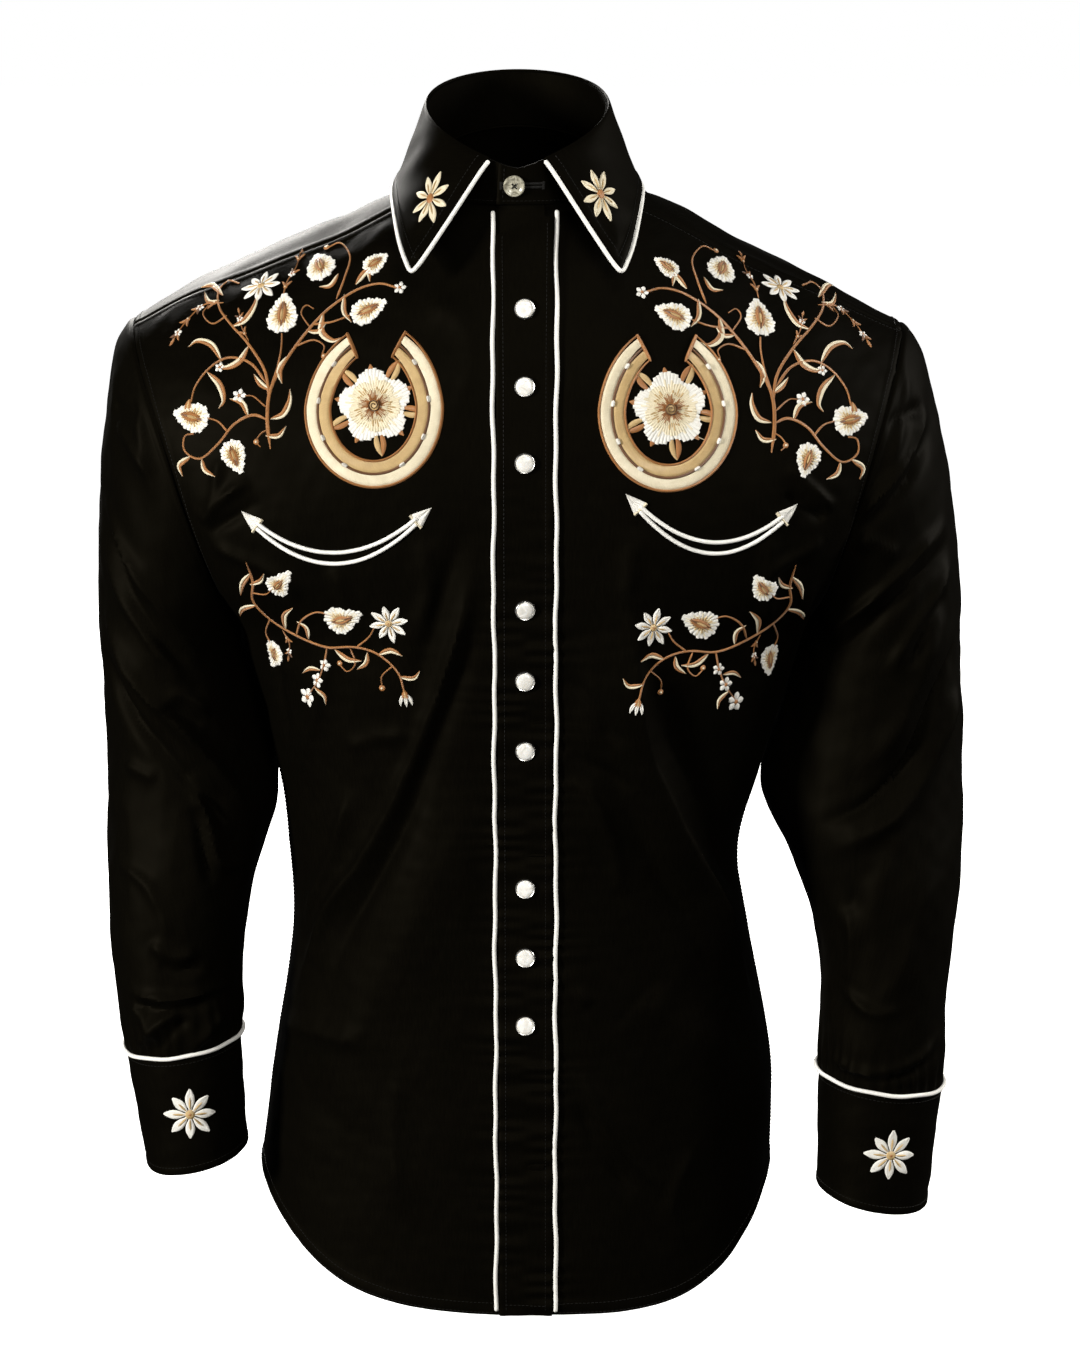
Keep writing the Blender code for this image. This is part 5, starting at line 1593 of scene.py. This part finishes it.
# leaves by the hanging row of flowers, of the same tones on both sides
HANGING_LEAVES = (("width", "path"), (
    (3.0, ((-130, -312), (-137, -312), (-142, -316))),
    (3.0, ((-134, -324), (-128, -329), (-127, -335)))))
DAISIES = (("x", "z", "radius", "turn"), ((-166, -73, 13.5, 12), (-85, -277, 12.5, -8)))
LITTLE_FLOWERS = (("x", "z", "radius", "turn"), (
    (-177, -137, 4.6, 0), (-77, -71, 4.2, 0), (-190, -121, 3.4, 0),
    # the hanging row
    (-127, -308, 4.2, 1.68), (-132, -319, 5.0, 2.0), (-139, -332, 6.6, 2.64)))
BERRIES = (("x", "z", "radius"), (
    (-125, -50, 2.2), (-166, -164, 2.0), (-124, -112, 2.0), (-117, -306, 2.0),
    (-90, -320, 2.2), (-157, -257, 2.0)))
BELLS = (("x", "z", "length", "turn"), ((-209, -141, 13, 168), (-76, -321, 11, -172)))
SPRIGS = (("count", "size", "path"), (
    (4, 4.0, ((-190, -84), (-203, -86), (-214, -96), (-221, -106))),
    (2, 3.2, ((-172, -105), (-177, -97), (-179, -89))),
    (3, 3.6, ((-151, -78), (-149, -70), (-144, -62), (-142, -54))),
    (2, 3.0, ((-154, -288), (-150, -297), (-151, -306)))))
HORSESHOE = (-93.0, -141.0)


def horseshoe(work, x, z):
    """A horseshoe of cream and gold satin with copper cords and white nails, and a rose."""
    frame = spot_frame(work["skins"], x, z)
    turns = np.radians(np.linspace(118, 422, 66))
    wide, tall = 35.0, 41.0

    def arc(aside):
        pull = 1 - 0.10 * np.maximum(np.sin(turns), 0)
        return np.stack([(wide * pull + aside) * np.cos(turns),
                         (tall + aside) * np.sin(turns) * (1 + 0.06 * (np.sin(turns) > 0))], -1)
    taper = 1 - 0.25 * smooth(0.8, 1, np.abs(np.linspace(-1, 1, len(turns))))
    for aside, width, crown, kind, profile in (
            (3.9, 7.2, 0.0010, CREAMS, "flat"), (-3.9, 7.2, 0.0010, GOLDS, "flat"),
            (8.0, 1.8, 0.0013, COPPERS, "plump"), (-7.9, 1.7, 0.0013, COPPERS, "plump"),
            (0.0, 2.3, 0.0014, BROWNS, "plump")):
        spots, normals = on_frame(work, frame, arc(aside))
        blade(work, spots, normals, width / 2000 * taper, crown, kind, profile, 0.5)
    along = arc(0.0)
    for k in (5, 12, 19, 26, 39, 46, 53, 60):
        way = unit(along[k + 1] - along[k - 1])
        petal(work, frame, along[k] - way * 1.9, along[k] + way * 1.9, 2.8, WHITES,
              crown=0.0026, steps=6, blunt=True)
    for k in (0, -1):
        out = unit(arc(1.0)[k] - arc(-1.0)[k])
        petal(work, frame, along[k] - out * 9.2, along[k] + out * 9.2, 2.6, COPPERS,
              crown=0.0019, blunt=True, steps=12)
    rose(work, x + 1, z + 1, 23.0)


def rose(work, x, z, radius):
    """A full-blown rose: three rounds of broad petals shaded towards its heart, and leaves."""
    frame = spot_frame(work["skins"], x, z, 8)
    for angle in range(18, 360, 36):
        way = spoke(np.radians(angle))
        if angle % 72 == 18:
            petal(work, frame, way * radius * 0.7, way * radius * 1.12, radius * 0.20, COPPERS,
                  crown=0.0006)
            continue
        for hand, kind in ((1, COPPERS), (-1, GOLDS)):
            start = way * radius * 0.7 + np.array((-way[1], way[0])) * hand
            petal(work, frame, start, way * radius * 1.36, radius * 0.17, kind, crown=0.0006,
                  bend=0.10 * hand)
    for ring, (inner, outer, spread, wide, pale, tone) in enumerate((
            (0.50, 1.00, 62, 0.16, WHITES, CREAMS),
            (0.30, 0.72, 64, 0.13, CREAMS, GOLDS),
            (0.14, 0.46, 66, 0.10, CREAMS, COPPERS))):
        for k in range(5):
            angle = 90 + 72 * k + 36 * ring
            crown = 0.0010 + 0.00045 * ring
            fan(work, frame, inner * radius, outer * radius, angle, spread, 11, wide * radius,
                pale, crown, 0.20, 0.012)
            fan(work, frame, (inner - 0.04) * radius, (inner + 0.24) * radius, angle,
                spread * 0.86, 8, wide * radius * 0.8, tone, crown + 0.00025, 0.30, 0.09)
    t = np.linspace(0, 1, 40)
    spiral = spoke(t * 4.2 * pi).T * (0.03 + 0.15 * t[:, None]) * radius
    knob(work, frame, (0, 0), radius * 0.20, 0.0026, GOLDS)
    spots, normals = on_frame(work, frame, spiral)
    blade(work, spots, normals, np.full(40, 0.00055), 0.0034, BROWNS)


def make_chest_work(side, name):
    """One side of the chest; the wearer's left is mirrored and set a little over."""
    work = new_work(CHEST)
    flip = 1 if side == RIGHT else -1

    def at(x, z):
        return (x, z) if side == RIGHT else (-x - 5, z - 2)

    def along(path):
        return [at(*place) for place in path]
    for first, last, path in STEMS[1]:
        stem(work, along(path), first, last)
    for width, path in LEAVES[1]:
        leaf(work, along(path), width, (COPPERS, CREAMS)[::flip])
    for width, path in HANGING_LEAVES[1]:
        leaf(work, along(path), width)
    for motif, table in ((blossom, BLOSSOMS), (daisy, DAISIES), (bell, BELLS)):
        for x, z, size, turn in table[1]:
            motif(work, *at(x, z), size, turn * flip)
    for x, z, radius, turn in LITTLE_FLOWERS[1]:
        little_flower(work, *at(x, z), radius, turn)
    for x, z, radius in BERRIES[1]:
        berry(work, *at(x, z), radius)
    for count, size, path in SPRIGS[1]:
        sprig(work, along(path), count, size)
    horseshoe(work, *at(*HORSESHOE))
    finish_work(name, work, THREADS)


def make_collar_stars():
    work = new_work(("collar_fall",))
    for x, z, turn in ((-58.0, -16.5, -6), (46.5, -14.0, 6)):
        daisy(work, x, z, 13.0, turn, COPPERS, 1.42, CREAMS)
    finish_work("collar_star_flowers", work, THREADS)


def make_cuff_flower(name, skin, x, z):
    work = new_work((skin,))
    daisy(work, x, z, 17.0, 22.5 if x < 0 else 18)
    finish_work(name, work, THREADS)


# ------------------------------------------------------------------------ piping and trim
def tube(work, line, radius, kind, sides):
    """A cord along a line, closed by a dome at both ends."""
    ways = unit(np.gradient(line, axis=0))
    asides = [unit(np.cross(ways[0], (0.3, 0.5, 0.8)))]
    for way in ways[1:]:
        asides.append(unit(asides[-1] - way * np.dot(asides[-1], way)))
    asides = np.array(asides)
    turns = np.linspace(0, 2 * pi, sides + 1)
    around = (asides[:, None] * np.cos(turns)[:, None]
              + np.cross(ways, asides)[:, None] * np.sin(turns)[:, None])
    rings = [line[:, None] + around * radius]
    for out, wide in ((0.2, 0.88), (0.42, 0.55), (0.5, 0.02)):
        rings.insert(0, line[0] - ways[0] * radius * out + around[:1] * radius * wide)
        rings.append(line[-1] + ways[-1] * radius * out + around[-1:] * radius * wide)
    flat = np.stack(np.broadcast_arrays(np.pad(runs_along(line), 3, "edge")[:, None],
                                        turns[None] * radius), -1)
    facing = np.pad(around, ((3, 3), (0, 0), (0, 0)), "edge")
    gather(work, np.concatenate(rings), kind, flat, facing, around=True)


def cord_piece(name, line, radius, node=None, sides=12):
    """A cord of piping, for the named node of the model or else the one of its own name."""
    work = new_work(())
    tube(work, line, radius, 0, sides)
    finish_work(f"{name}_cord", work, [PIPING], (node or name,))


def make_band_piping(side, name):
    x = side * (BAND_WIDTH / 2 + PIPING_RADIUS + 2 * GAP)
    z = np.linspace(on_front(x, 0.0025)[2], NECK_FRONT_Z - 0.0035, 330)
    spots, normals = from_front(CHEST, np.full_like(z, x), z)
    wander = 0.0004 * np.sin(z / 0.019 + side) + 0.0003 * np.sin(z / 0.007)
    line = (averaged(spots, np.ones(7) / 7) + eased(normals) * (PIPING_RADIUS + GAP)
            + wander[:, None] * (1, 0, 0))
    cord_piece(name, line, PIPING_RADIUS)


def fall_edge(side, turn, down, outer, front_edge):
    """A place just outside the fall's lower edge, its front edge or the corner of both."""
    here = fall(side, turn, down)
    below = unit(here - fall(side, turn, down - 0.03))
    beside = unit(fall(side, turn + 0.02, down) - here)
    square = unit(np.cross(beside, below))
    if np.dot(square, here - np.array((NECK_X, 0, 0))) < 0:
        square = -square
    out = np.zeros(3)
    if outer:
        out = out + unit(below - beside * np.dot(below, beside))
    if front_edge:
        out = out - unit(beside - below * np.dot(beside, below))
    return here + unit(out) * (PIPING_RADIUS + 2 * GAP) - square * WALL / 2


def make_collar_piping():
    downs = np.linspace(0.24, 0.965, 20)
    turns = np.concatenate([[0.012, 0.02], np.linspace(0.035, 1, 60)])

    def leaf_edge(side):
        return ([fall_edge(side, 0.0, down, False, True) for down in downs]
                + [fall_edge(side, 0.0, 1.0, True, True)]
                + [fall_edge(side, turn, 1.0, True, False) for turn in turns])
    line = even(np.array(leaf_edge(LEFT) + leaf_edge(RIGHT)[-2::-1]), LINE_STEP)
    for _ in range(3):
        line[1:-1] = (line[:-2] + 2 * line[1:-1] + line[2:]) / 4
    cord_piece("collar_piping", line, PIPING_RADIUS, "piping_collar")


def make_cuff_piping(side, name):
    start = (CUFF_OVERLAP + np.radians(4)) / (2 * pi + CUFF_OVERLAP)
    turns = np.linspace(start, 1, 130)
    points = cuff(side, turns, 0.0)
    heart = (points[0] + points[len(points) // 2]) / 2
    line = points + unit((points - heart) * (1, 1, 0)) * (PIPING_RADIUS + 1.5 * GAP)
    line[:, 2] += PIPING_RADIUS * 0.4 + 0.0003 * np.sin(turns * 60)
    cord_piece(name, line, PIPING_RADIUS)


def make_pocket(side, name):
    """The two piped lips of a smile pocket and the padded arrowheads at its ends."""
    outer_x, outer_z, low_z, inner_x, inner_z = POCKETS[1][side]
    share = np.linspace(0, 1, 90)
    x = outer_x + (inner_x - outer_x) * share
    z = (outer_z + (inner_z - outer_z) * share
         + (low_z - (outer_z + inner_z) / 2) * 4 * share * (1 - share))
    spread = POCKET_LIP_START + (POCKET_LIP_SPREAD - POCKET_LIP_START) * np.sin(pi * share)
    for sign, lip in ((1, "upper"), (-1, "lower")):
        spots, normals = from_front(CHEST, x, z + sign * spread)
        cord_piece(f"{name}_{lip}_lip", spots + eased(normals) * POCKET_PIPING_RADIUS * 0.75,
                   POCKET_PIPING_RADIUS, sides=10)
    for end, near, word in ((0, 1, "outer"), (-1, -2, "inner")):
        work = new_work(CHEST)
        ahead = unit(np.array((x[end] - x[near], z[end] - z[near])))
        base = np.array((x[end], z[end])) + ahead * POCKET_PIPING_RADIUS * 0.4
        t = np.linspace(0, 1, 12)[:, None]
        spots, normals = from_front(CHEST, *(base + ahead * t * (POCKET_ARROW + 0.001)).T)
        widths = POCKET_ARROW_WIDTH / 2 * np.maximum(1.06 * (1 - t[:, 0]) ** 0.94, 0.03)
        widths[0] *= 0.94
        blade(work, spots, eased(normals), widths, 0.0016, WHITES, "parted", 0.9)
        # the bar of thread across its foot
        s = np.linspace(-1, 1, 9)[:, None]
        bar = np.array((-ahead[1], ahead[0])) * POCKET_ARROW_WIDTH * 0.5
        spots, normals = from_front(CHEST, *(base + bar * s - ahead * 0.0006).T)
        blade(work, spots, eased(normals), np.full(9, 0.0011), 0.0019, CREAMS)
        finish_work(f"{name}_arrow_{word}_padded", work, THREADS,
                    (f"{name}_arrow_{word}",))


def turned(work, spot, normal, profile, sides=48):
    """A turned piece on the cloth; the profile's rows are radius, height and finish."""
    right = unit(np.cross(normal, (0.01, 0.02, 1.0)))
    turns = np.linspace(0, 2 * pi, sides + 1)
    around = right * np.cos(turns)[:, None] + np.cross(normal, right) * np.sin(turns)[:, None]
    radii, heights, kinds = np.array(profile).T
    grid = spot + around * radii[:, None, None] + normal * heights[:, None, None]
    flat = np.stack(np.broadcast_arrays(turns * 0.003, radii[:, None]), -1)
    gather(work, grid, kinds[:-1, None].astype(int), flat, normal, around=True)


# the cap and the rim of a snap: shares of its radius and height, and the finish
SNAP_PROFILE = ((0.01, 1.00, 0), (0.30, 0.985, 0), (0.55, 0.93, 0), (0.72, 0.84, 0),
                (0.81, 0.72, 0), (0.835, 0.60, 0), (0.85, 0.60, 1), (0.88, 0.74, 1),
                (0.92, 0.78, 1), (0.965, 0.70, 1), (1.0, 0.48, 1), (1.0, 0.10, 1),
                (0.96, 0.0, 1))


def snap(name, skin, spot, normal, radius, height):
    """A pearl snap in its metal rim, for the model's node of its name."""
    work = new_work((skin,))
    turned(work, spot, normal, [(a * radius, b * height, kind) for a, b, kind in SNAP_PROFILE])
    finish_work(f"{name}_pearl", work, [PEARL, METAL], (name,), 35)


def make_snaps():
    """The front snaps, each square to the mean of the cloth round its place."""
    beside = 0.003 * np.array(((-1, 0), (0, -1), (0, 0), (0, 1), (1, 0)))
    for number, pitch in enumerate(SNAP_PLACES, 1):
        spots, normals = from_front(("placket",), beside[:, 0],
                                    SNAP_TOP - pitch * SNAP_PITCH + beside[:, 1])
        snap(f"snap_{number:02d}", "placket", spots[2], unit(normals.mean(0)), SNAP_RADIUS,
             0.0031)


def make_cuff_snaps(side, word):
    skin = f"cuff_{word}"
    middle = 1 - CUFF_OVERLAP / 2 / (2 * pi + CUFF_OVERLAP)
    for number, drop in enumerate(CUFF_SNAP_DROPS, 1):
        spot = cuff(side, middle, drop)
        away = unit(spot - cuff(side, middle - pi / (2 * pi + CUFF_OVERLAP), drop))
        spots, normals = cast((skin,), (spot + away * 0.03)[None], -away)
        snap(f"cuff_snap_{word}_{number}", skin, spots[0], unit(normals[0] + away),
             CUFF_SNAP_RADIUS, 0.0029)


def make_button():
    """A four-hole button of smoked pearl sewn on with crossed thread, and its buttonhole."""
    skin = ("collar_stand",)
    spots, normals = cast(skin, (stand(BUTTON_ANGLE, 0.52) - (0, 0.3, 0))[None], (0, 1, 0))
    spot, normal = spots[0], normals[0]
    right = unit(np.array((1.0, 0, 0)) - normal * normal[0])
    up = np.cross(normal, right)
    work, r = new_work(skin), BUTTON_RADIUS
    turned(work, spot, normal, (
        (0.01 * r, 0.0016, 0), (0.50 * r, 0.0016, 0), (0.62 * r, 0.0018, 0),
        (0.74 * r, 0.0024, 0), (0.84 * r, 0.0027, 0), (0.93 * r, 0.0026, 0),
        (r, 0.0020, 0), (r, 0.0013, 0), (0.86 * r, 0.0003, 0), (0.5 * r, 0.0001, 0)))
    for a, b in ((-1, -1), (-1, 1), (1, -1), (1, 1)):
        turned(work, spot + (right * a + up * b) * 0.0012, normal, (
            (0.00001, 0.00168, 1), (0.00050, 0.00168, 1), (0.00058, 0.00182, 0),
            (0.00070, 0.00178, 0), (0.00076, 0.00158, 0)), 14)
    finish_work("collar_button_pearl", work, [SMOKED, INK], ("collar_button",), 35)
    thread = new_work(skin)
    t = np.linspace(-1, 1, 9)[:, None]
    for b, higher in ((-1, 0), (1, 0.0003)):
        for aside in (-0.00018, 0.00018):
            line = spot + (up * b - right) * 0.0012 * t + right * aside
            line = line + normal * (0.0017 + 0.00055 * (1 - t ** 4) + higher)
            tube(thread, line, 0.00019, INKS, 6)
    # the buttonhole: two long sides and a bar across each end
    spots, normals = from_front(skin, np.linspace(-0.0145, 0.0115, 30), np.full(30, spot[2]))
    for aside in (-0.0011, 0.0011):
        line = settled(skin, spots + (0, 0, aside), eased(normals))
        blade(thread, line, eased(normals), np.full(30, 0.0010), 0.0008, INKS)
    for end in (0, -1):
        line = spots[end] + vec(0, 0, 0.0024 * np.linspace(-1, 1, 7))
        blade(thread, settled(skin, line, normals[end]), np.repeat(normals[end][None], 7, 0),
              np.full(7, 0.0011), 0.0010, INKS)
    finish_work("buttonhole_and_thread", thread, THREADS)


def make_slit_band(side, word):
    """The faced slit above a cuff, with its pointed upper end."""
    low = length_of(SLEEVE[side]) - 4 * PIPING_RADIUS
    shares = np.concatenate([np.linspace(0, 0.88, 30), np.linspace(0.89, 1, 8)])
    widths = np.where(shares < 0.88, 1, 1 - 0.85 * (shares - 0.88) / 0.12)
    asides = np.linspace(-1, 1, 13)
    drops = (low - shares * SLIT_BAND_LENGTH)[:, None]
    turn = asides[None] * widths[:, None] * SLIT_BAND_WIDTH / 2 / FOREARM_RADIUS
    plain = sleeve(side, SLIT_ANGLE + turn, drops)
    middle = (sleeve(side, 0.0, drops) + sleeve(side, pi, drops)) / 2
    away = unit((plain - middle) * (1, 1, 0))
    spots, _ = cast((f"sleeve_{word}",), plain + away * 0.04, -away, 0.1)
    first, last, _, _ = from_edges(spots)
    lift = WALL + 2 * GAP + 0.6 * hem_step(np.minimum(first, last), 0.004)
    grid, normals = raised(spots, outward(spots, away), lift)
    mesh = shell_mesh(f"slit_band_{word}", grid, normals, WALL * 0.9)
    add_piece(f"slit_band_{word}", mesh, [BLACK], (f"sleeve_placket_{word}",))


# ------------------------------------------------------------------------------ stitches
STITCH_PITCH, STITCH_LENGTH, STITCH_RADIUS = 0.0027, 0.0019, 0.00023
STITCH_START = 0.004
# the rings of a stitch: share of its length, then its radius and its height in radii
STITCH_FORM = ((-0.06, 0.15, -0.5), (0.14, 0.95, 0.35), (0.86, 0.95, 0.35), (1.06, 0.15, -0.5))


def beside_edge(name, edge, distance):
    """The line on a piece at a distance from one of its borders, and the normals there."""
    grid, normals = GRIDS[name]
    if edge in ("low", "high"):
        grid, normals = grid.transpose(1, 0, 2), normals.transpose(1, 0, 2)
    if edge in ("last", "high"):
        grid, normals = grid[:, ::-1], normals[:, ::-1]
    runs = np.pad(np.cumsum(np.linalg.norm(np.diff(grid, axis=1), axis=2), axis=1),
                  ((0, 0), (1, 0)))
    k = np.clip((runs < distance).sum(1) - 1, 0, grid.shape[1] - 2)
    rows = np.arange(len(grid))
    t = ((distance - runs[rows, k]) / (runs[rows, k + 1] - runs[rows, k]))[:, None]
    return (grid[rows, k] * (1 - t) + grid[rows, k + 1] * t,
            unit(normals[rows, k] * (1 - t) + normals[rows, k + 1] * t))


def stitches(work, line, normals):
    """A row of lock stitches: small capsules of thread, end to end with short gaps."""
    runs = runs_along(line)
    at = np.arange(STITCH_START, runs[-1] - STITCH_START, STITCH_PITCH)
    start, end = rows_at(at, runs, line), rows_at(at + STITCH_LENGTH, runs, line)
    ups = unit(rows_at(at + STITCH_LENGTH / 2, runs, normals))
    sides = np.cross(unit(end - start), ups)
    share, radii, heights = np.array(STITCH_FORM).T[:, None, :, None, None]
    turns = np.radians((0, 90, 180, 270, 360))
    start, end, ups, sides = (rows[:, None, None] for rows in (start, end, ups, sides))
    around = sides * np.cos(turns)[:, None] + ups * np.sin(turns)[:, None]
    grid = (start + (end - start) * share + around * (radii * STITCH_RADIUS)
            + ups * (heights * STITCH_RADIUS))
    count, rows, cols = grid.shape[:3]
    link = numbered(rows, cols)
    link[:, -1] = link[:, 0]
    faces = quads(link)[:, ::-1] + (np.arange(count) * rows * cols)[:, None, None]
    faces = faces.reshape(-1, 4)
    add_faces(work, grid.reshape(-1, 3), faces, np.zeros((faces.size, 2)),
              np.zeros(len(faces), int))


SEAM_ROWS = (("piece", "edge", "distance"), (
    ("placket", "first", 0.0045), ("placket", "last", 0.0045),
    ("placket", "low", 0.0075), ("front_right", "low", 0.0015), ("front_right", "low", 0.0080),
    ("front_left", "low", 0.0015), ("front_left", "low", 0.0080),
    ("back", "low", 0.0015), ("back", "low", 0.0080),
    ("front_right", "high", 0.0055), ("front_left", "high", 0.0055),
    ("back", "high", 0.0055), ("yoke", "low", 0.0022),
    ("front_right", "last", 0.0055), ("front_left", "last", 0.0055),
    ("back", "first", 0.0055), ("back", "last", 0.0055),
    ("yoke", "first", 0.0055), ("yoke", "last", 0.0055),
    ("collar_fall", "high", 0.0058), ("collar_fall", "first", 0.0058),
    ("collar_fall", "last", 0.0058),
    ("collar_stand", "low", 0.0022), ("collar_stand", "first", 0.0040),
    ("collar_stand", "last", 0.0040),
    ("cuff_right", "low", 0.0050), ("cuff_right", "high", 0.0052),
    ("cuff_right", "first", 0.0052), ("cuff_right", "last", 0.0052),
    ("cuff_left", "low", 0.0050), ("cuff_left", "high", 0.0052),
    ("cuff_left", "first", 0.0052), ("cuff_left", "last", 0.0052),
))


def make_stitches():
    """Every row of stitches that shows, in one piece."""
    work = new_work(())
    for piece, edge, distance in SEAM_ROWS[1]:
        stitches(work, *beside_edge(piece, edge, distance))
    finish_work("seam_stitches", work, [INK])


# ------------------------------------------------------------------- camera and studio
def set_up(name, data, place, aim):
    """A camera or a light at a place, turned to what it aims at."""
    thing = bpy.data.objects.new(name, data)
    bpy.context.scene.collection.objects.link(thing)
    thing.location = place
    thing.rotation_euler = (Vector(aim) - thing.location).to_track_quat("-Z", "Y").to_euler()
    return thing


def make_camera():
    """The photograph's view, from a little above the middle of the shirt."""
    pitch, distance = np.radians(13), 1.95
    target = Vector((0.0093, 0, -0.3366))
    data = bpy.data.cameras.new("camera")
    data.lens = 78
    data.sensor_width = 36
    place = target + distance * Vector((0, -np.cos(pitch), np.sin(pitch)))
    bpy.context.scene.camera = set_up("camera", data, place, target)


AMBIENT = 0.03
LIGHT_TINT = (1, 0.975, 0.93)
LIGHTS = (("name", "place", "size", "power"), (
    ("key_light", (-2.0, -1.5, 0.15), (0.4, 0.5), 92),
    ("fill_light", (0.8, -2.3, 0.45), (0.7, 0.8), 27),
    ("top_light", (0.4, -1.6, 1.5), (0.7, 0.7), 14),
    ("back_light", (-0.9, 2.2, 0.8), (0.7, 0.7), 96),
    ("side_light", (2.5, 0.3, 0.7), (0.9, 0.9), 74)))


def make_studio():
    world = bpy.data.worlds.new("studio")
    world.use_nodes = True
    tree = world.node_tree
    # a dim light from all round, and plain white where the camera looks past everything
    light = tree.nodes["Background"]
    fill(tree, light, {0: (0.95, 0.97, 1), 1: AMBIENT})
    sky = add_node(tree, "ShaderNodeBackground", {0: (1, 1, 1)})
    seen = add_node(tree, "ShaderNodeLightPath").outputs["Is Camera Ray"]
    mix = add_node(tree, "ShaderNodeMixShader", {0: seen, 1: light.outputs[0], 2: sky.outputs[0]})
    fill(tree, tree.nodes["World Output"], {0: mix.outputs[0]})
    bpy.context.scene.world = world
    bpy.context.scene.view_settings.view_transform = "Standard"
    for name, place, size, power in LIGHTS[1]:
        data = bpy.data.lights.new(name, "AREA")
        data.shape = "RECTANGLE"
        data.size, data.size_y = size
        data.energy = power
        data.color = LIGHT_TINT
        set_up(name, data, place, BODY_HEART)


def make_floor():
    """A floor that looks plain white and throws no light on the shirt."""
    half, height = 30.0, -0.80
    mesh = new_mesh("studio_floor", [(-half, -half, height), (half, -half, height),
                                     (half, half, height), (-half, half, height)],
                    [np.array([[0, 1, 2, 3]])])
    finish, tree = new_finish("pale_floor")
    mesh.materials.append(set_look(finish, {
        "Base Color": (0.80, 0.80, 0.80), "Emission Color": (1, 1, 1), "Emission Strength": 1.0,
        "Roughness": ranged(tree, noise(tree, in_space(tree), 0.4), 0.75, 0.85)}))
    floor = bpy.data.objects.new("studio_floor", mesh)
    bpy.context.scene.collection.objects.link(floor)
    floor.visible_diffuse = floor.visible_glossy = False


# ---------------------------------------------------------------------------- the shirt
make_front(RIGHT, "front_right")
make_front(LEFT, "front_left")
make_back()
make_yoke()
make_sleeve(RIGHT, "sleeve_right", RIGHT_ARM_CREASES, RIGHT_ARM_BACK)
make_sleeve(LEFT, "sleeve_left", LEFT_ARM_CREASES, LEFT_ARM_BACK)
make_cuff(RIGHT, "cuff_right")
make_cuff(LEFT, "cuff_left")
make_stand()
make_fall()
make_band()

make_band_piping(RIGHT, "piping_placket_right")
make_band_piping(LEFT, "piping_placket_left")
make_collar_piping()
make_cuff_piping(RIGHT, "piping_cuff_right")
make_cuff_piping(LEFT, "piping_cuff_left")
make_pocket(RIGHT, "pocket_right")
make_pocket(LEFT, "pocket_left")
make_snaps()
make_cuff_snaps(RIGHT, "right")
make_cuff_snaps(LEFT, "left")
make_button()
make_slit_band(RIGHT, "right")
make_slit_band(LEFT, "left")
make_stitches()
make_chest_work(RIGHT, "embroidery_right_chest")
make_chest_work(LEFT, "embroidery_left_chest")
make_collar_stars()
make_cuff_flower("embroidery_right_cuff", "cuff_right", -222, -616)
make_cuff_flower("embroidery_left_cuff", "cuff_left", 242, -645)

make_camera()
make_studio()
make_floor()
